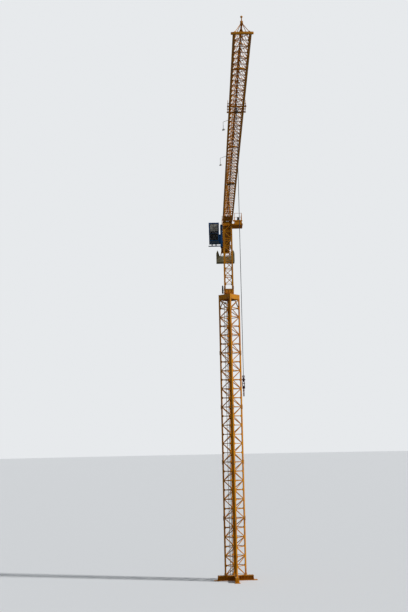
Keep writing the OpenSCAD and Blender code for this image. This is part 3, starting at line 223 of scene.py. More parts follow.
finishes = {}
for slot, colour, faded, wear in (
    ("mast_orange", (0.62, 0.24, 0.005), (0.44, 0.15, 0.005), {}),
    ("jib_yellow", (0.62, 0.245, 0.008), (0.46, 0.165, 0.007), {}),
    ("cab_blue", (0.003, 0.060, 0.19), (0.003, 0.048, 0.13), {"rough": (0.3, 0.5), "chips": 0.74}),
    ("dark_steel", (0.030, 0.030, 0.032), (0.022, 0.020, 0.018), {"rust": (0.09, 0.04, 0.02)}),
    ("galvanised", (0.34, 0.33, 0.29), (0.21, 0.20, 0.17), {"metallic": 0.4, "rough": (0.45, 0.65)}),
    ("hook_maroon", (0.12, 0.006, 0.02), (0.075, 0.005, 0.014), {"rust": (0.06, 0.03, 0.02)}),
    ("seat_cloth", (0.03, 0.03, 0.035), (0.02, 0.02, 0.02), {"rust": (0.02, 0.02, 0.02), "chips": 0.9}),
):
    finishes[slot] = paint(slot, colour, faded, **wear)


# Concrete for the ballast: cement grey with damp stains, sand grains, small air holes, and the
# faint level lines that the boards of its mould leave.
def concrete(name, colour, stain_and_reflection_tint):
    """Cement. The colour is mix(stain, colour) by slow noise, speckled by cells, with board lines every
    90 mm up the side and holes where a fine cell pattern is nearest its centre."""
    material, tree, shader, at = blank(name)
    slow = noise(tree, at, 5.0, 9.0, 0.62)
    tone = ramp(tree, slow, [(0.36, opaque(stain_and_reflection_tint)), (0.6, opaque(colour)), (0.75, opaque(colour, 1.2))])
    grains = new_node(tree, "TexVoronoi", "Distance", {"Vector": at, "Scale": 160.0})
    speck = ramp(tree, grains, [(0.05, grey(0.62)), (0.35, grey(1.0))])
    uneven = {"Vector": at, "Scale": 3.5, "Distortion": 0.6, "Detail": 2.0}
    boards = new_node(tree, "TexWave", "Fac", uneven, bands_direction="Z")
    holes = new_node(tree, "TexVoronoi", "Distance", {"Vector": at, "Scale": 34.0})
    pits = ramp(tree, holes, [(0.06, grey(0.0)), (0.14, grey(1.0))])
    relief = {"Height": mixed(tree, 0.6, boards, pits), "Strength": 0.5, "Distance": 0.004}
    feed(shader, {"Base Color": mixed(tree, 0.7, tone, speck, blend_type="MULTIPLY"),
                  "Normal": new_node(tree, "Bump", "Normal", relief), "Roughness": 0.92})
    return material


finishes["ballast_grey"] = concrete("ballast_grey", (0.27, 0.23, 0.125), (0.14, 0.12, 0.07))


# The cab's windows are clear safety glass, a thin tinted film to the light, with a little dust on
# it. From outside the upper panes show paler than the lower ones, over the height of the split: their
# pale film is partly a sunshade tint and partly a painted reflection.
WINDOW_SPLIT, SPLIT_FADE = 17.78, 0.04
DUST = (0.3, 0.29, 0.27, 1)
GLASS_IOR = 1.45


def glass(name, clear, sunshade_and_reflection, sill):
    """Thin glass: it lets through all but a film of the light, and its gloss dulls where a soft noise
    leaves dust on it. Above the sill height the film is paler and thicker, from the clear
    (r, g, b, share) to the second, paler one over 40 mm, which is partly a sunshade tint and partly a
    painted reflection."""
    material, tree, shader, at = blank(name)
    dull = ramp(tree, noise(tree, at, 7.0, 8.0), [(0.45, grey(0.03)), (0.8, grey(0.22))])
    height = new_node(tree, "SeparateXYZ", "Z", {"Vector": at})
    over_sill = {"Value": height, "From Min": sill, "From Max": sill + SPLIT_FADE}
    upper = new_node(tree, "MapRange", "Result", over_sill)
    # Above the sill the tint turns pale: partly a sunshade film, partly a painted reflection.
    stain_and_reflection_tint = mixed(tree, upper, opaque(clear[:3]), opaque(sunshade_and_reflection[:3]))
    film = new_node(tree, "MapRange", "Result", {"Value": upper, "To Min": clear[3], "To Max": sunshade_and_reflection[3]})
    dusty = mixed(tree, dull, stain_and_reflection_tint, DUST)
    feed(shader, {"Base Color": dusty, "Roughness": dull, "Alpha": film, "IOR": GLASS_IOR})
    return material


# The second, paler film colour is partly a sunshade tint and partly a painted reflection.
finishes["glass"] = glass("glass", (0.03, 0.035, 0.04, 0.25), (0.56, 0.54, 0.49, 0.38), WINDOW_SPLIT)


# The hoist rope is greased steel wire, laid up from strands that show as slanting bands along it, and
# the grooves between the strands are painted darker as shade.
# With its finish the set is complete, and each CAD node gets the one of its own slot.
STRAND_BAND = 0.022
WAVE_LENGTH = 0.314


def wire(name, colour, band):
    """Twisted wire. Bands along the diagonal x + y + z repeat once in every band length of the rope, as
    the wave node's own bands are WAVE_LENGTH apart at a scale of 1. Where a band sinks in the relief,
    its colour is darkened to three tenths as painted shade."""
    material, tree, shader, at = blank(name)
    strands = new_node(tree, "TexWave", "Fac", {"Vector": at, "Scale": WAVE_LENGTH / band},
                       bands_direction="DIAGONAL")
    # Painted shade: the sunk grooves of the relief are darkened to 0.3 of the colour.
    tone = ramp(tree, strands, [(0.1, opaque(colour, 0.3)), (0.7, opaque(colour))])
    relief = new_node(tree, "Bump", "Normal", {"Height": strands, "Strength": 0.8, "Distance": 0.004})
    feed(shader, {"Base Color": tone, "Normal": relief, "Metallic": 0.6, "Roughness": 0.5})
    return material


finishes["wire_rope"] = wire("wire_rope", (0.05, 0.048, 0.045), STRAND_BAND)
for part in frame["record"]["subparts"]:
    node = nodes[part["node"]]
    node.data.materials.clear()
    node.data.materials.append(finishes[part["material_slot"]])


# Splice bolts on the mast, of steel with a zinc coat. Each cover plate round a leg's corner carries
# two columns of hexagon bolts on both faces, and the four base shoes have the upper half of one.
MAST_TURN = math.radians(48.8)
MAST_HALF, MAST_FOOT, SECTION, SECTIONS = 0.392, 0.250, 2.800, 5
COVER, SPLICE_BOLT = 0.012, 0.022
SPLICE_ROWS = np.array([-0.085, -0.035, 0.035, 0.085])
SPLICE_COLUMNS = np.array([0.070, 0.026])


def lofted(rings, capped=True):
    """A skin over closed rings with equal counts. Face (i, j) joins points j and j+1 of ring i to those of
    ring i+1, and a fan from each end ring's mean closes it. Returns points, quads and triangles."""
    rings = np.asarray(rings, float)
    k, s = rings.shape[:2]
    j = np.arange(s)
    n = (j + 1) % s
    low = (np.arange(k - 1) * s)[:, None]
    quads = np.stack([low + j, low + n, low + n + s, low + j + s], axis=-1).reshape(-1, 4)
    points = rings.reshape(-1, 3)
    if not capped:
        return points, quads, np.zeros((0, 3), int)
    points = np.concatenate([points, rings[0].mean(0)[None], rings[-1].mean(0)[None]])
    bottom = np.stack([n, j, np.full(s, k * s)], axis=-1)
    top = np.stack([(k - 1) * s + j, (k - 1) * s + n, np.full(s, k * s + 1)], axis=-1)
    return points, quads, np.concatenate([bottom, top])


def turned(profile, sides):
    """A revolve about Z. A profile point (r, z) becomes (r cos a, r sin a, z) at each side's angle."""
    r, z = np.asarray(profile, float).T
    a = np.arange(sides) * 2 * np.pi / sides
    ring = np.stack([np.cos(a), np.sin(a)], axis=1)
    xy = r[:, None, None] * ring[None]
    return lofted(np.concatenate([xy, np.broadcast_to(z[:, None, None], (len(r), sides, 1))], axis=2))


def joined(parts):
    """One part from many: each part's face numbers are raised by the count of points before it."""
    before = np.cumsum([0] + [len(p[0]) for p in parts[:-1]])
    points = np.concatenate([p[0] for p in parts])
    quads, tris = (np.concatenate([p[i] + n for p, n in zip(parts, before)]) for i in (1, 2))
    return points, quads, tris


def placed(part, at, z=(0, 0, 1), x=(1, 0, 0)):
    """Copies of a part. At each place the part's Z lies along z, and its X as near to x as it can:
    y = z cross x made unit, then x = y cross z, and a point p becomes at + x px + y py + z pz."""
    at = np.atleast_2d(np.asarray(at, float))
    z, x = (np.broadcast_to(np.atleast_2d(np.asarray(v, float)), at.shape) for v in (z, x))
    z = z / np.linalg.norm(z, axis=1, keepdims=True)
    y = np.cross(z, x)
    y = y / np.linalg.norm(y, axis=1, keepdims=True)
    axes = np.stack([np.cross(y, z), y, z], axis=1)
    points = at[:, None] + np.einsum("pk,nkc->npc", part[0], axes)
    shift = (np.arange(len(at)) * len(part[0]))[:, None, None]
    return points.reshape(-1, 3), (part[1] + shift).reshape(-1, 4), (part[2] + shift).reshape(-1, 3)


def swung(part, angle):
    """A part turned about Z by an angle: x' = x cos a - y sin a and y' = x sin a + y cos a."""
    c, s = math.cos(angle), math.sin(angle)
    return part[0] @ np.array([[c, s, 0], [-s, c, 0], [0, 0, 1]]), part[1], part[2]


def corners(part):
    """A part at all four corners of a square: itself and its three quarter turns about Z."""
    return joined([swung(part, k * math.pi / 2) for k in range(4)])


def grid(*axes):
    """Every combination of the values given for X, Y and Z, one row each."""
    return np.stack(np.meshgrid(*[np.atleast_1d(a) for a in axes], indexing="ij"), axis=-1).reshape(-1, 3)


def bolt(across):
    """A hexagon bolt head on a round washer, for a bolt that is across wide, standing on Z = 0."""
    washer = turned([(across * 0.62, 0), (across * 0.62, across * 0.12)], 12)
    head = turned([(across * r, across * z) for r, z in ((0.56, 0.1), (0.56, 0.5), (0.44, 0.58))], 6)
    return joined([washer, head])


def piece(name, part, body, slot, smooth=None, finish=None):
    """A mesh object from points, quads and triangles, with its slot's finish or one of its own, riding
    on a body if one is named. Edges sharper than a smooth angle stay sharp, and the rest looks round."""
    points, quads, tris = part
    mesh = bpy.data.meshes.new(name)
    mesh.vertices.add(len(points))
    mesh.vertices.foreach_set("co", points.ravel())
    mesh.loops.add(quads.size + tris.size)
    mesh.loops.foreach_set("vertex_index", np.concatenate([quads.ravel(), tris.ravel()]))
    mesh.polygons.add(len(quads) + len(tris))
    starts = np.concatenate([np.arange(len(quads)) * 4, quads.size + np.arange(len(tris)) * 3])
    mesh.polygons.foreach_set("loop_start", starts)
    mesh.update(calc_edges=True)
    mesh.validate()
    if smooth:
        mesh.shade_smooth()
        mesh.set_sharp_from_angle(angle=math.radians(smooth))
    mesh.materials.append(finishes[finish or slot])
    made = bpy.data.objects.new(name, mesh)
    bpy.context.scene.collection.objects.link(made)
    if body:
        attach(made, body)
    return made


joint_z = MAST_FOOT + SECTION * np.arange(1, SECTIONS)
splice_z = np.concatenate([MAST_FOOT + SPLICE_ROWS[2:], (joint_z[:, None] + SPLICE_ROWS).ravel()])
splice_face = MAST_HALF + COVER
on_flange = MAST_HALF - SPLICE_COLUMNS
leg_bolts = joined([
    placed(bolt(SPLICE_BOLT), grid(splice_face, on_flange, splice_z), z=(1, 0, 0), x=(0, 0, 1)),
    placed(bolt(SPLICE_BOLT), grid(on_flange, splice_face, splice_z), z=(0, 1, 0), x=(0, 0, 1)),
])
piece("mast_splice_bolts", swung(corners(leg_bolts), MAST_TURN), "root", "galvanised", 30)


# Gussets where the mast's lacing bars meet its legs: steel plates with cut corners, painted with
# the mast, each held by three bolts, on the lacing beside the flange of every leg.
FLANGE, LACING_FACE = 0.094, MAST_HALF - 0.014
SHOE, MAST_PANEL, PANELS = 0.016, SECTION / 6, 30
GUSSET_T, GUSSET_BOLT = 0.007, 0.014


def plate(outline, thick):
    """A flat plate in XY with its underside at Z = 0, from an outline that sees its own middle."""
    outline = np.asarray(outline, float)
    return lofted([np.column_stack([outline, np.full(len(outline), z)]) for z in (0, thick)])


gusset_edge = [(0, -0.060), (0.034, -0.052), (0.066, -0.020), (0.066, 0.020), (0.034, 0.052), (0, 0.060)]
gusset_bolts = [(0.018, -0.03, GUSSET_T), (0.045, 0, GUSSET_T), (0.018, 0.03, GUSSET_T)]
gusset = joined([plate(gusset_edge, GUSSET_T), placed(bolt(GUSSET_BOLT), gusset_bolts)])
panel_z = MAST_FOOT + SHOE + (MAST_PANEL - SHOE / PANELS) * np.arange(1, PANELS)


def side_gussets(one, edge, face, levels):
    """A side's two columns of gussets, which point inwards from its legs, with their bolts outwards."""
    return joined([placed(one, grid(s * edge, -face, levels), z=(0, -1, 0), x=(-s, 0, 0)) for s in (-1, 1)])


mast_side = side_gussets(gusset, MAST_HALF - FLANGE, LACING_FACE, panel_z)
piece("mast_gussets", swung(corners(mast_side), MAST_TURN), "root", "mast_orange", 30)


# Grease nipples, turned from steel and screwed in at twelve places round the upper race of the
# slewing ring, which turns with the crane.
RING_R, COLLAR_TOP, RACE = 0.245, 14.500, 0.032
NIPPLES, NIPPLE_SINK = 12, 0.002
nipple = turned([(0.007, -0.004), (0.007, 0.004), (0.004, 0.006), (0.004, 0.012), (0.005, 0.013),
                 (0.003, 0.017)], 10)
nipple_a = np.arange(NIPPLES) * 2 * np.pi / NIPPLES
outward = np.column_stack([np.cos(nipple_a), np.sin(nipple_a), np.zeros(NIPPLES)])
nipple_at = outward * (RING_R - NIPPLE_SINK) + [0, 0, COLLAR_TOP + RACE * 1.5]
piece("ring_grease_nipples", placed(nipple, nipple_at, z=outward, x=(0, 0, 1)), "superstructure",
      "galvanised", 40)


# Bolts hold the collar's side plates to the mast's head, in two rows on every side, and the flanges
# of the crossed base beams together, in pairs along each arm.
COLLAR_BOLT, BEAM_BOLT = 0.020, 0.026
collar_at = grid([-0.30, -0.20, -0.10, 0.10, 0.20, 0.30], MAST_HALF, [14.285, 14.465])
collar_bolts = corners(placed(bolt(COLLAR_BOLT), collar_at, z=(0, 1, 0), x=(0, 0, 1)))
piece("collar_bolts", swung(collar_bolts, MAST_TURN), "root", "galvanised", 30)
beam_at = grid([0.62, 0.70, 0.78, 0.86], [-0.062, 0.062], MAST_FOOT)
beam_bolts = corners(placed(bolt(BEAM_BOLT), beam_at))
piece("base_beam_bolts", swung(beam_bolts, MAST_TURN + math.pi / 4), "root", "galvanised", 30)


# The lower race carries the slewing gear: a steel ring of upright teeth, cut round its edge between
# the collar and the turntable, in which the motor's pinion runs.
TEETH, TOOTH_OUT, TOOTH_TAPER = 132, 0.0058, 0.15
GEAR_R, GEAR_IN = RING_R + 0.0003, RING_R - 0.003
GEAR_LOW, GEAR_HIGH = COLLAR_TOP + 0.004, COLLAR_TOP + 0.024
corner = np.arange(4 * TEETH)
tooth_r = (GEAR_R + TOOTH_OUT * np.isin(corner % 4, (1, 2)))[:, None]
lean = np.array([0, TOOTH_TAPER, -TOOTH_TAPER, 0])[corner % 4]
tooth_a = (corner + lean) * 2 * np.pi / (4 * TEETH)
tooth_xy = np.column_stack([np.cos(tooth_a), np.sin(tooth_a)])


def band(radius, z):
    """A ring of the teeth's corners at one height, with one radius for all of them or one for each."""
    return np.column_stack([tooth_xy * radius, np.full(len(tooth_xy), z)])


gear = lofted([band(tooth_r, GEAR_LOW), band(tooth_r, GEAR_HIGH), band(GEAR_IN, GEAR_HIGH),
               band(GEAR_IN, GEAR_LOW), band(tooth_r, GEAR_LOW)], capped=False)
piece("slewing_gear_teeth", gear, "root", "dark_steel", 20)


# The slewing tower has the mast's joints at its own size: bolted shoes on the turntable, bolts along
# the turntable's two lips, and gussets at every panel.
TOWER_HALF, TOWER_FLANGE, TOWER_LACING_FACE = 0.244, 0.078, 0.244 - 0.012
TABLE_TOP, TOWER_BASE, TOWER_PANEL, TOWER_PANELS = 14.7993, 15.0893, 0.400, 8
TOWER_BOLT, TOWER_GUSSET_SHARE, GUSSET_LIFT = 0.018, 0.72, 0.012
shoe_face = TOWER_HALF + COVER
on_shoe = TOWER_HALF - np.array([0.056, 0.020])
shoe_z = TABLE_TOP + np.array([0.03, 0.075, 0.12])
lip_at = grid([-0.205, -0.095, -0.045, 0.045, 0.095, 0.205], TOWER_HALF, [14.62, 14.74])
shoe_bolts = joined([
    placed(bolt(TOWER_BOLT), grid(shoe_face, on_shoe, shoe_z), z=(1, 0, 0), x=(0, 0, 1)),
    placed(bolt(TOWER_BOLT), grid(on_shoe, shoe_face, shoe_z), z=(0, 1, 0), x=(0, 0, 1)),
    placed(bolt(TOWER_BOLT), lip_at, z=(0, 1, 0), x=(0, 0, 1)),
])
piece("tower_shoe_bolts", corners(shoe_bolts), "superstructure", "galvanised", 30)
small_gusset = (gusset[0] * TOWER_GUSSET_SHARE, gusset[1], gusset[2])
tower_z = TOWER_BASE + TOWER_PANEL * np.arange(TOWER_PANELS) + GUSSET_LIFT
tower_side = side_gussets(small_gusset, TOWER_HALF - TOWER_FLANGE, TOWER_LACING_FACE, tower_z)
piece("tower_gussets", corners(tower_side), "superstructure", "mast_orange", 30)


# Sleeves of thicker tube are welded round the tower head's four legs where its braces meet them.
# At the apex, washers and nuts hold the pins of the tie bars and of the sheave between two plates.
HEAD_FOOT, HEAD_TOP = np.array([0.207, 0.207, 18.3793]), np.array([0.045, 0.070, 20.3043])
SLEEVE_LEVELS = np.array([0.02, 0.3, 0.58, 0.82])
APEX_Z, APEX_FACE, APEX_NUT = 20.4343, 0.065, 0.030
sleeve = turned([(0.031, -0.05), (0.037, -0.046), (0.037, 0.046), (0.031, 0.05)], 16)
leg_signs = grid([-1, 1], [-1, 1], 1)
leg_run = HEAD_TOP - HEAD_FOOT
sleeve_at = ((HEAD_FOOT + leg_run * SLEEVE_LEVELS[:, None])[:, None] * leg_signs).reshape(-1, 3)
sleeve_way = np.tile(leg_run * leg_signs, (len(SLEEVE_LEVELS), 1))
sleeves = placed(sleeve, sleeve_at, z=sleeve_way, x=(0, 1, 0))
piece("head_sleeves", sleeves, "superstructure", "jib_yellow", 40)
pins = [(-0.075, APEX_Z - 0.08), (-0.075, APEX_Z - 0.03), (0.075, APEX_Z - 0.06), (0.0, APEX_Z - 0.05)]
pin_at = np.array([[s * APEX_FACE, y, z] for y, z in pins for s in (-1, 1)])


def sideways(places):
    """The direction that faces away from the middle plane X = 0 at each place."""
    return np.sign(places) * [1, 0, 0]


piece("apex_pin_nuts", placed(bolt(APEX_NUT), pin_at, z=sideways(pin_at), x=(0, 0, 1)), "superstructure",
      "galvanised", 30)


# Gussets along the jib, of plate and welded on: one at each meeting of the side lacing with a bottom
# chord and with the top chord, and flat ones where the level bracing meets the bottom chords.
CHORD_X, CHORD_Z, TOP_Z, CHORD_HALF = 0.225, 18.3343, 18.7643, 0.022
JIB_START, JIB_PANEL, JIB_PANELS, JIB_LENGTH = 0.5517, 0.4167, 54, 22.6368
FOOT_T, LEVEL_T = 0.020, 0.018


def moved(part, by):
    """A part moved by a vector."""
    return part[0] + np.asarray(by), part[1], part[2]


low_node = np.array([CHORD_X, 0, CHORD_Z + CHORD_HALF])
high_node = np.array([0.017, 0, TOP_Z - CHORD_HALF])
slant = (high_node - low_node) / np.linalg.norm(high_node - low_node)
off_side = np.array([slant[2], 0, -slant[0]])
low_y = -(JIB_START + JIB_PANEL * np.arange(JIB_PANELS))
high_y = low_y[:-1] - JIB_PANEL / 2
foot_edge = [(0, -0.070), (0.020, -0.062), (0.058, -0.022), (0.058, 0.022), (0.020, 0.062), (0, 0.070)]
foot_plate = moved(plate(foot_edge, FOOT_T), [0, 0, -FOOT_T / 2])
level_plate = plate([(0, -0.060), (0.030, -0.052), (0.030, 0.052), (0, 0.060)], LEVEL_T)
jib_plates = []
for s in (-1, 1):
    flip = np.array([s, 1, 1])
    for jib_node, stations, way in ((low_node, low_y, slant), (high_node, high_y, -slant)):
        foot_at = jib_node * flip + np.outer(stations, [0, 1, 0])
        jib_plates.append(placed(foot_plate, foot_at, z=off_side * flip, x=way * flip))
    level_at = grid(s * (CHORD_X - CHORD_HALF), low_y, CHORD_Z - LEVEL_T / 2 * s)
    jib_plates.append(placed(level_plate, level_at, z=(0, 0, s), x=(-s, 0, 0)))
piece("jib_gussets", joined(jib_plates), "superstructure", "jib_yellow", 30)


# Bolts at the jib's section joints, of zinc-coated steel: on the cover plates under the bottom
# chords, and on both sides of the collars round the top chord.
SECTION_PANELS = 6
UNDER_BOLT, SIDE_BOLT = 0.011, 0.013
joint_y = -(JIB_LENGTH - JIB_PANEL * np.arange(SECTION_PANELS, JIB_PANELS, SECTION_PANELS))
under_y = (joint_y[:, None] + np.array([-0.06, -0.02, 0.02, 0.06])).ravel()
under_x = [-CHORD_X - 0.011, -CHORD_X + 0.011, CHORD_X - 0.011, CHORD_X + 0.011]
top_joints = np.arange(SECTION_PANELS, JIB_PANELS - 1, SECTION_PANELS)
top_joint_y = -(JIB_LENGTH - JIB_PANEL / 2 - JIB_PANEL * (top_joints - 0.5))
side_y = (top_joint_y[:, None] + np.array([-0.055, 0.0, 0.055])).ravel()
joint_bolts = [placed(bolt(UNDER_BOLT), grid(under_x, under_y, CHORD_Z - 0.030), z=(0, 0, -1))]
for s in (-1, 1):
    side_at = grid(s * 0.030, side_y, [TOP_Z - 0.01, TOP_Z + 0.012])
    joint_bolts.append(placed(bolt(SIDE_BOLT), side_at, z=(s, 0, 0), x=(0, 0, 1)))
piece("jib_joint_bolts", joined(joint_bolts), "superstructure", "galvanised", 30)


# Step plates of chequered sheet with folded edges lie over the bracing at the jib's foot. They leave
# a slot where the hoist rope comes down to its first sheave.
STEP_NEAR, STEP_FAR, SLOT_END = -0.300, -1.640, -0.600
STEP_Z, STEP_T, LIP_H = CHORD_Z + 0.0105, 0.004, 0.022
SLOT_HALF, STEP_OUT = 0.062, 0.200
STUD_GAP, STUD_H = 0.028, 0.0015


def step_strip(x0, x1, near, thick):
    """A strip of the step plates from their far end to a near one, between two places across the jib."""
    return plate([(x0, STEP_FAR), (x1, STEP_FAR), (x1, near), (x0, near)], thick)


stud = plate([(-0.009, 0), (0, -0.0025), (0.009, 0), (0, 0.0025)], STUD_H)
stud_y = np.arange(STEP_FAR + 0.02, STEP_NEAR, STUD_GAP)
step_parts = [step_strip(-SLOT_HALF, SLOT_HALF, SLOT_END, STEP_T)]
for s in (-1, 1):
    x0, x1 = sorted((s * SLOT_HALF, s * STEP_OUT))
    lip_x = x0 if s > 0 else x1 - STEP_T
    stud_at = grid(np.arange(x0 + 0.016, x1 - 0.010, STUD_GAP), stud_y, STEP_T)
    stud_way = np.where((np.arange(len(stud_at)) % 2)[:, None], [0.7, 0.7, 0], [0.7, -0.7, 0])
    step_parts.append(step_strip(x0, x1, STEP_NEAR, STEP_T))
    step_parts.append(step_strip(lip_x, lip_x + STEP_T, STEP_NEAR, LIP_H))
    step_parts.append(placed(stud, stud_at, x=stud_way))
piece("jib_step_plates", moved(joined(step_parts), [0, 0, STEP_Z]), "superstructure", "jib_yellow", 30)


# Couplings along the tie bars and the counter-jib's ties: forged steel sleeves with two cross pins,
# every two to three metres, as such bars are pinned together from lengths.
TIE_R = 0.014
PIN_R, PIN_HALF, PIN_OUT = 0.009, 0.034, 0.05


def couplings(start, end, count):
    """Sleeves at equal steps between two ends, but not on them, each with an upright pin in both its forks,
    50 mm either way along the bar."""
    start, end = np.asarray(start, float), np.asarray(end, float)
    at = start + (end - start) * (np.arange(1, count + 1) / (count + 1))[:, None]
    along = (end - start) / np.linalg.norm(end - start)
    body = turned([(TIE_R, -0.09), (TIE_R * 1.9, -0.08), (TIE_R * 1.9, -0.02), (TIE_R * 1.5, -0.015),
                   (TIE_R * 1.5, 0.015), (TIE_R * 1.9, 0.02), (TIE_R * 1.9, 0.08), (TIE_R, 0.09)], 12)
    pin = turned([(PIN_R, -PIN_HALF), (PIN_R, PIN_HALF)], 10)
    forks = (at[:, None] + np.array([[-PIN_OUT], [PIN_OUT]]) * along).reshape(-1, 3)
    return joined([placed(body, at, z=along, x=(0, 0, 1)), placed(pin, forks)])


tie_z = TOP_Z + CHORD_HALF + 0.008 + 0.0003 + TIE_R
inner_foot, outer_foot = (-(0.135 + (k + 0.5) * JIB_PANEL) for k in (30, 48))
tie_joints = [couplings((s * 0.028, -0.075, APEX_Z - drop), (s * 0.028, foot, tie_z), count)
              for s in (-1, 1) for drop, foot, count in ((0.08, inner_foot, 4), (0.03, outer_foot, 6))]
for s in (-1, 1):
    tie_joints.append(couplings((s * 0.024, 0.075, APEX_Z - 0.06), (s * 0.217, 6.15, CHORD_Z + 0.08), 2))
piece("tie_couplings", joined(tie_joints), "superstructure", "dark_steel", 35)


# The cab's windows sit in black rubber, and the front ones have a wiper each. The front leans
# back a little above and below its middle, as the shell does.
CAB_X0, CAB_X1, CAB_Y, CAB_Z, CAB_H = -0.985, -0.467, -0.700, 17.2693, 0.992
SPLIT, NOSE_LOW, NOSE_HIGH = 0.396, 0.060, 0.026
RUBBER_R, ARM_R, BLADE_R = 0.008, 0.004, 0.006
cab_middle = (CAB_X0 + CAB_X1) / 2


def nose(z):
    """How far back the sloped front lies at a height over the cab's floor."""
    z = np.asarray(z, float)
    return np.where(z < SPLIT, NOSE_LOW * (1 - z / SPLIT), NOSE_HIGH * (z - SPLIT) / (CAB_H - SPLIT))


def tube(path, radius, facing, sides=8, closed=False):
    """A round tube along a path. At each point the ring lies across the path's direction, one axis being
    the direction crossed with facing, which is never along the path."""
    path = np.asarray(path, float)
    ahead = np.roll(path, -1, axis=0) - np.roll(path, 1, axis=0) if closed else np.gradient(path, axis=0)
    ahead = ahead / np.linalg.norm(ahead, axis=1, keepdims=True)
    side = np.cross(ahead, facing)
    side = side / np.linalg.norm(side, axis=1, keepdims=True)
    other = np.cross(ahead, side)
    a = np.arange(sides) * 2 * np.pi / sides
    c, s = np.cos(a)[:, None], np.sin(a)[:, None]
    rings = path[:, None] + radius * (side[:, None] * c + other[:, None] * s)
    if closed:
        rings = np.concatenate([rings, rings[:1]])
    return lofted(rings, capped=not closed)


def rounded_loop(w0, w1, h0, h1, r, steps=5):
    """Points round a rectangle from (w0, h0) to (w1, h1) whose corners are quarter circles of radius r."""
    a = np.linspace(0, np.pi / 2, steps)
    mids = [(w1 - r, h1 - r), (w0 + r, h1 - r), (w0 + r, h0 + r), (w1 - r, h0 + r)]
    quarters = [m + r * np.column_stack([np.cos(a + k * np.pi / 2), np.sin(a + k * np.pi / 2)])
                for k, m in enumerate(mids)]
    return np.concatenate(quarters)


rubbers = []
for z0, z1 in ((0.060, SPLIT), (SPLIT + 0.024, CAB_H - 0.072)):
    loop = rounded_loop(CAB_X0 + 0.050, CAB_X1 - 0.050, z0 + 0.002, z1 - 0.002, 0.012)
    front = np.column_stack([loop[:, 0], CAB_Y + nose(loop[:, 1]) + 0.004, CAB_Z + loop[:, 1]])
    rubbers.append(tube(front, RUBBER_R, (0, 1, 0), closed=True))
for x in (CAB_X0 + 0.002, CAB_X1 - 0.002):
    loop = rounded_loop(0.066, 0.526, SPLIT + 0.026, CAB_H - 0.074, 0.034)
    flank = np.column_stack([np.full(len(loop), x), CAB_Y + loop[:, 0], CAB_Z + loop[:, 1]])
    rubbers.append(tube(flank, RUBBER_R, (1, 0, 0), closed=True))
t = np.linspace(0, 1, 8)
for z0, z1 in ((SPLIT + 0.03, 0.80), (0.07, 0.30)):
    arm_z = z0 + (z1 - z0) * t
    arm = np.column_stack([cab_middle + 0.10 - 0.12 * t, CAB_Y + nose(arm_z) - 0.010, CAB_Z + arm_z])
    blade_y = CAB_Y + nose(z1 - 0.10 + 0.16 * t) - 0.006
    blade = np.column_stack([np.full(len(t), cab_middle - 0.02), blade_y, CAB_Z + z1 - 0.12 + 0.16 * t])
    rubbers += [tube(arm, ARM_R, (0, 1, 0)), tube(blade, BLADE_R, (0, 1, 0))]
piece("cab_window_rubbers", joined(rubbers), "superstructure", "dark_steel", 40)


# The cab is lined inside: a pale padded ceiling and upper back wall, which show through the upper
# window, and dark moulded trim below them behind the seat, on the flanks and under the window.
LINED_HALF, BACK_Y = 0.222, CAB_Y + 0.874
finishes["cab_lining"] = paint("cab_lining", (0.72, 0.66, 0.58), (0.58, 0.53, 0.46), rust=(0.2, 0.19, 0.18),
                               chips=0.9)
finishes["cab_trim"] = paint("cab_trim", (0.035, 0.03, 0.03), (0.022, 0.02, 0.02), rust=(0.05, 0.03, 0.03),
                             chips=0.9)


def crowned(w0, w1, h0, h1, low, rise, back=0.0, steps=6):
    """A padded panel over a rounded rectangle. The loop shrinks towards its centre by s from 1 to 0.1, at
    the height low + rise times (1 - s^4), from a back edge at the height back. Fans close both ends."""
    loop = rounded_loop(w0, w1, h0, h1, min(0.03, 0.45 * min(w1 - w0, h1 - h0)))
    centre = np.array([(w0 + w1) / 2, (h0 + h1) / 2])
    s = np.concatenate([[1.0], np.linspace(1, 0.1, steps)])
    height = np.concatenate([[back], low + rise * (1 - s[1:] ** 4)])
    flat = centre + s[:, None, None] * (loop - centre)[None]
    upright = np.broadcast_to(height[:, None, None], (*flat.shape[:2], 1))
    return lofted(np.concatenate([flat, upright], axis=2))


def on_back(panel):
    """A panel stood up on the cab's back wall, facing forwards."""
    return placed(panel, (cab_middle, BACK_Y, CAB_Z), z=(0, -1, 0))


ceiling = placed(crowned(-LINED_HALF, LINED_HALF, -0.76, -0.10, 0.004, 0.010),
                 (cab_middle, CAB_Y, CAB_Z + CAB_H - 0.027), z=(0, 0, -1))
upper_back = on_back(crowned(-LINED_HALF, LINED_HALF, 0.44, 0.93, 0.004, 0.010))
piece("cab_lining", joined([ceiling, upper_back]), "superstructure", "seat_cloth", 40, finish="cab_lining")
lower_back = on_back(crowned(-LINED_HALF, LINED_HALF, 0.03, 0.43, 0.004, 0.008))
flanks = [placed(crowned(*sorted((-0.10 * s, -0.80 * s)), 0.03, 0.38, 0.003, 0.006),
                 (cab_middle + s * 0.234, CAB_Y, CAB_Z), z=(-s, 0, 0), x=(0, -s, 0)) for s in (-1, 1)]
dash_profile = ((0.030, 0.395), (0.030, 0.440), (0.120, 0.470), (0.150, 0.455), (0.140, 0.400))
dash = lofted([[(x, y, z) for y, z in dash_profile] for x in (-0.20, 0.20)])
dash = moved(dash, [cab_middle, CAB_Y, CAB_Z])
uprights = [on_back(crowned(x - 0.011, x + 0.011, 0.45, 0.92, 0.012, 0.004, 0.008))
            for x in (-0.19, -0.055, 0.055, 0.19)]
piece("cab_trim", joined([lower_back, *flanks, dash, *uprights]), "superstructure", "seat_cloth", 40,
      finish="cab_trim")


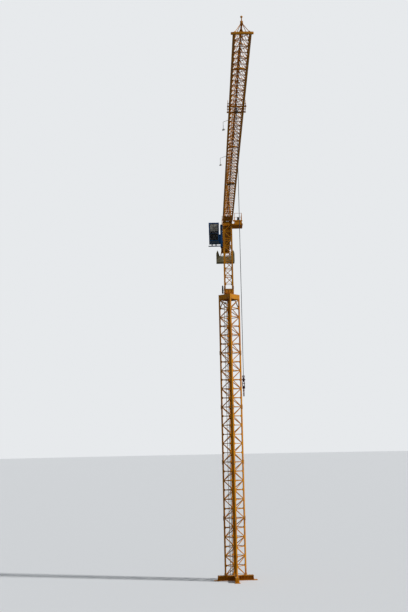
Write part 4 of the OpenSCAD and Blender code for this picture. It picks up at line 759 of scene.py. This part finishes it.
# Handrails of bent bar stand on the cab's rear corners, a gutter runs round its roof, and the door
# in its rear wall has a lever handle and two strap hinges, all painted with the cab.
REAR_Y, RAIL_OUT = 0.197, 0.199 + 0.028
RAIL_R, GUTTER_R, HANDLE_R = 0.009, 0.008, 0.007
DOOR_HALF = 0.150
HINGE_Y, HINGE_HEIGHTS = 0.2003, (0.16, 0.78)


def flipped(part):
    """A part with its faces turned to look the other way, for a loft that came out inside out."""
    return part[0], part[1][:, ::-1], part[2][:, ::-1]


rail_path = np.array([(0, REAR_Y, 0.30), (0, RAIL_OUT, 0.32), (0, RAIL_OUT, 0.60), (0, RAIL_OUT, 0.86),
                      (0, REAR_Y, 0.88)])
rail_x = (CAB_X0 + 0.045, CAB_X1 - 0.045)
cab_rails = [tube(rail_path + [x, 0, CAB_Z], RAIL_R, (1, 0, 0), 10) for x in rail_x]
gutter = rounded_loop(CAB_X0 - 0.004, CAB_X1 + 0.004, CAB_Y + 0.03, CAB_Y + 0.902, 0.02)
gutter = np.column_stack([gutter, np.full(len(gutter), CAB_Z + CAB_H - 0.016)])
gutter = tube(gutter, GUTTER_R, (0, 0, 1), closed=True)
door_edge, door_far = cab_middle + DOOR_HALF, cab_middle - DOOR_HALF
lever = ((0.03, REAR_Y), (0.03, 0.222), (0.05, 0.225), (0.10, 0.225))
handle = tube([(door_edge - x, y, 0.47) for x, y in lever], HANDLE_R, (0, 0, 1), 10)
strap_ends = ((-0.035, -0.012), (0.035, -0.018), (0.035, 0.018), (-0.035, 0.012))
strap = flipped(lofted([[(x, y, z) for x, z in strap_ends] for y in (0, 0.005)]))
knuckle = turned([(0.008, -0.03), (0.008, 0.03)], 12)
hinge_at = np.array([(door_far, HINGE_Y, CAB_Z + z) for z in HINGE_HEIGHTS])
hinges = joined([placed(strap, hinge_at), placed(knuckle, hinge_at + [-0.03, 0.008, 0])])
piece("cab_rails", joined([*cab_rails, gutter, moved(handle, [0, 0, CAB_Z]), hinges]), "superstructure",
      "cab_blue", 40)


# The platform's deck is an open steel grating of flat bars with thin rods across them, pressed
# together and dipped in zinc, and so is the walkway on the counter-jib.
BAR_HALF, ROD_HALF, ROD_H = 0.0022, 0.003, 0.006


def grating(x0, x1, y0, y1, top, deep, gap):
    """Flat bars along X every gap, and square rods along Y every four gaps, with their tops level."""
    across = np.arange(y0 + gap / 2, y1, gap)
    bar = lofted([[(x0, -BAR_HALF, z), (x1, -BAR_HALF, z), (x1, BAR_HALF, z), (x0, BAR_HALF, z)]
                  for z in (-deep, 0)])
    along = np.arange(x0 + 2 * gap, x1, 4 * gap)
    rod = lofted([[(-ROD_HALF, y, -ROD_H), (ROD_HALF, y, -ROD_H), (ROD_HALF, y, 0), (-ROD_HALF, y, 0)]
                  for y in (y0, y1)])
    return joined([placed(bar, grid(0, across, top)), placed(rod, grid(along, 0, top))])


platform_deck = grating(0.2745, 0.7768, -0.2695, 0.5695, 18.2718, 0.0154, 0.026)
piece("platform_grating", platform_deck, "superstructure", "galvanised")
walkway_deck = grating(-0.180, 0.180, 0.250, 7.30, 18.3668, 0.0028, 0.030)
piece("walkway_grating", walkway_deck, "superstructure", "galvanised")


# The front of the platform is closed between the deck and the knee rail by a pressed steel sheet,
# whose ribs stand out along it.
RAIL_FRONT, SHEET_T, RIB_OUT, RIBS = -0.285, 0.0025, 0.005, 3


def ribbed(x0, x1, z0, z1, thick, rib, count):
    """A sheet from x0 to x1 whose front stands out by rib times sin^2 of count half turns over its
    height. Its back follows at the thickness, and the outline runs up the front and down the back."""
    t = np.linspace(0, 1, 8 * count + 1)
    front = -rib * np.sin(count * np.pi * t) ** 2
    z = z0 + (z1 - z0) * t
    depth = np.concatenate([front, (front + thick)[::-1]])
    outline = np.column_stack([depth, np.concatenate([z, z[::-1]])])
    return lofted([np.column_stack([np.full(len(outline), x), outline]) for x in (x0, x1)])


front_sheet = flipped(ribbed(0.399, 0.744, 18.2760, 18.3895, SHEET_T, RIB_OUT, RIBS))
front_sheet = moved(front_sheet, [0, RAIL_FRONT + 0.0005, 0])
piece("platform_front_sheet", front_sheet, "superstructure", "jib_yellow", 40)


# Clamps of pressed steel hold the rails of the platform and the walkway on their posts, and each
# post of the platform stands on a round flange with two bolts.
POST_IN, POST_OUT, POST_REAR, POST_FOOT = 0.3873, 0.756, 0.5687, 18.2726
WALK_X, WALK_FROM, WALK_TO, WALK_POSTS = 0.2583, 0.444, 6.09, 7
clamp = turned([(0.013, -0.012), (0.017, -0.010), (0.017, 0.010), (0.013, 0.012)], 12)
foot_flange = joined([turned([(0.026, 0), (0.026, 0.006), (0.013, 0.010)], 16),
                      placed(bolt(0.009), [(0.019, 0, 0.006), (-0.019, 0, 0.006)])])
walk_y = WALK_FROM + np.arange(WALK_POSTS) * (WALK_TO - WALK_FROM) / (WALK_POSTS - 1)
walk_clamps = placed(clamp, grid([-WALK_X, WALK_X], walk_y, [CHORD_Z + 0.31, CHORD_Z + 0.54]))
posts = [(POST_IN, RAIL_FRONT), (POST_OUT, RAIL_FRONT), (POST_OUT, 0.15), (POST_OUT, POST_REAR),
         (POST_IN, POST_REAR)]
post_feet = placed(foot_flange, [(x, y, POST_FOOT) for x, y in posts])
front_clamps = placed(clamp, grid([POST_IN, POST_OUT], RAIL_FRONT, [18.28, 18.83]))
piece("rail_clamps", joined([walk_clamps, post_feet, front_clamps]), "superstructure", "jib_yellow", 40)


# The trolley's wheels get steel axle caps with three bolts each, its side frames the bolts of their
# cross beams, and both its ends a pair of rubber buffers.
TROLLEY_Y, WHEELBASE, SIDE_OUT, AXLE_Z = -16.957, 0.535, 0.312, 18.3626
BUFFER_X, BUFFER_Z, BUFFER_OUT = 0.306, 18.275, WHEELBASE / 2 + 0.060
ends = np.array([-1, 1])
cap_bolts = [(0.016 * math.cos(a), 0.016 * math.sin(a), 0.005) for a in (0.8, 2.9, 5.0)]
cap = joined([turned([(0.022, 0), (0.022, 0.006), (0.012, 0.010)], 20), placed(bolt(0.007), cap_bolts)])
axle_at = grid(SIDE_OUT * ends, TROLLEY_Y + WHEELBASE / 2 * ends, AXLE_Z)
axle_caps = placed(cap, axle_at, z=sideways(axle_at), x=(0, 1, 0))
beam_y = [TROLLEY_Y + s * WHEELBASE / 2 + d for s in ends for d in (-0.015, 0.015)]
cross_at = grid(SIDE_OUT * ends, beam_y, [18.249, 18.264])
cross_bolts = placed(bolt(0.008), cross_at, z=sideways(cross_at), x=(0, 0, 1))
piece("trolley_axle_caps", joined([axle_caps, cross_bolts]), "trolley", "galvanised", 35)
buffer = turned([(0.018, 0), (0.018, 0.012), (0.014, 0.014), (0.014, 0.026), (0.009, 0.032)], 20)
buffer_at = grid(BUFFER_X * ends, TROLLEY_Y + BUFFER_OUT * ends, BUFFER_Z)
buffer_way = grid([0, 0], ends, 0)
piece("trolley_buffers", placed(buffer, buffer_at, z=buffer_way), "trolley", "dark_steel", 35)


# The two falls of the hoist rope, each laid from six strands of steel wire, run from the trolley's
# sheaves to the hook block.
HOOK_Z, BLOCK_H, SHEAVE_Z, AXLE_DROP = 8.627, 0.457, CHORD_Z - 0.110, 0.150
FALL_Y, FALL_R, FALL_SIDES, TOUCH = 0.075, 0.007, 36, 0.0003
fall_low, fall_high = HOOK_Z + BLOCK_H - AXLE_DROP + TOUCH, SHEAVE_Z - TOUCH
fall_a = np.arange(FALL_SIDES) * 2 * np.pi / FALL_SIDES
strand_r = FALL_R * (0.92 + 0.08 * np.cos(6 * fall_a))
ring_x, ring_y = strand_r * np.cos(fall_a), strand_r * np.sin(fall_a)
falls = joined([
    lofted([np.column_stack([ring_x, y + ring_y, np.full(FALL_SIDES, z)]) for z in (fall_low, fall_high)])
    for y in (TROLLEY_Y - FALL_Y, TROLLEY_Y + FALL_Y)
])
fall_piece = piece("hoist_rope_falls", falls, None, "wire_rope", 50)
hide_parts("hoist_ropes")
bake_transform(fall_piece)


# Nuts on both cheeks of the hook block hold its spacer pins, the axle of its sheave and its cast
# weights. They are left as dark steel on the red paint.
block_nuts = []
for across, out, places in (
    (0.014, 0.036, ((-0.046, 0.185), (0.046, 0.185), (-0.046, BLOCK_H - 0.04), (0.046, BLOCK_H - 0.04))),
    (0.030, 0.042, ((0, BLOCK_H - AXLE_DROP),)),
    (0.012, 0.040, ((-0.07, 0.19), (0.07, 0.19), (-0.035, 0.05), (0.035, 0.05))),
):
    nut_at = np.array([[s * out, TROLLEY_Y + y, HOOK_Z + z] for s in (-1, 1) for y, z in places])
    block_nuts.append(placed(bolt(across), nut_at, z=sideways(nut_at), x=(0, 0, 1)))
piece("hook_block_nuts", joined(block_nuts), "hook_block", "dark_steel", 30)


# The rest of the hoist rope, the same steel wire, lies wound on the winch's drum in one layer of
# close turns from side to side.
DRUM_Y, DRUM_Z = 4.300, CHORD_Z + 0.020 + 0.012 + 0.0006 + 0.180
DRUM_R, ROPE_R = 0.096 + 0.0023, 0.0068
TURNS, POINTS_A_TURN, FIRST_X, PITCH_X = 16, 24, -0.118, 0.0147
wound = np.linspace(0, 2 * np.pi * TURNS, TURNS * POINTS_A_TURN + 1)
lay = np.column_stack([FIRST_X + PITCH_X * wound / (2 * np.pi), DRUM_Y + (DRUM_R + ROPE_R) * np.cos(wound),
                       DRUM_Z + (DRUM_R + ROPE_R) * np.sin(wound)])
piece("drum_rope", tube(lay, ROPE_R, (1, 0, 0), 6), "superstructure", "wire_rope", 60)


# The floodlights have a domed glass in their mouths, held by a ring of zinc-coated wire with two
# thin bows that cross over the glass.
LAMP_WAY = (0.2274, 0.3420, -0.9118)
LAMP_MOUTH, GUARD_RISE = 0.060, 0.0045
GUARD_R, GUARD_WIRE, BOW_WIRE = 0.046, 0.0025, 0.0015
lamp_at = np.array([(-0.482, -10.444, CHORD_Z + 0.023), (-0.422, -14.747, CHORD_Z + 0.023)])
dome = turned([(0.0440, 0.0535), (0.0440, 0.0560), (0.034, 0.0590), (0.018, 0.0605), (0.004, 0.0610)], 28)
piece("floodlight_glasses", placed(dome, lamp_at, z=LAMP_WAY), "superstructure", "glass", 60)
guard_ring = rounded_loop(-GUARD_R, GUARD_R, -GUARD_R, GUARD_R, 0.0459, 8)
guard_ring = np.column_stack([guard_ring, np.full(len(guard_ring), LAMP_MOUTH)])
guard = [tube(guard_ring, GUARD_WIRE, (0, 0, 1), 6, closed=True)]
t = np.linspace(-1, 1, 9)
arch_z = LAMP_MOUTH + GUARD_RISE * (1 - t ** 2)
for bow in (0.4, 0.4 + np.pi / 2):
    arch = np.column_stack([GUARD_R * t * np.cos(bow), GUARD_R * t * np.sin(bow), arch_z])
    guard.append(tube(arch, BOW_WIRE, (-np.sin(bow), np.cos(bow), 0), 6))
piece("floodlight_guards", placed(joined(guard), lamp_at, z=LAMP_WAY), "superstructure", "galvanised", 40)


# Lifting eyes of bent steel bar, cast into the ballast slabs, stand on their tops between the
# hangers, two on each slab.
EYE_R, EYE_BAR, EYE_X = 0.045, 0.007, 0.14
SLAB_TOP, SLAB_MIDDLE, SLAB_PITCH = 17.9413, 6.85, 0.204
half_turn = np.linspace(0, np.pi, 13)
bend = np.column_stack([EYE_R * np.cos(half_turn), 0 * half_turn, EYE_R + EYE_R * np.sin(half_turn)])
bend = np.concatenate([[(EYE_R, 0, -0.004)], bend, [(-EYE_R, 0, -0.004)]])
eye_at = grid([-EYE_X, EYE_X], SLAB_MIDDLE + SLAB_PITCH * np.array([-1, 0, 1]), SLAB_TOP)
eyes = placed(tube(bend, EYE_BAR, (0, 1, 0), 10), eye_at)
piece("ballast_lifting_eyes", eyes, "superstructure", "dark_steel", 40)
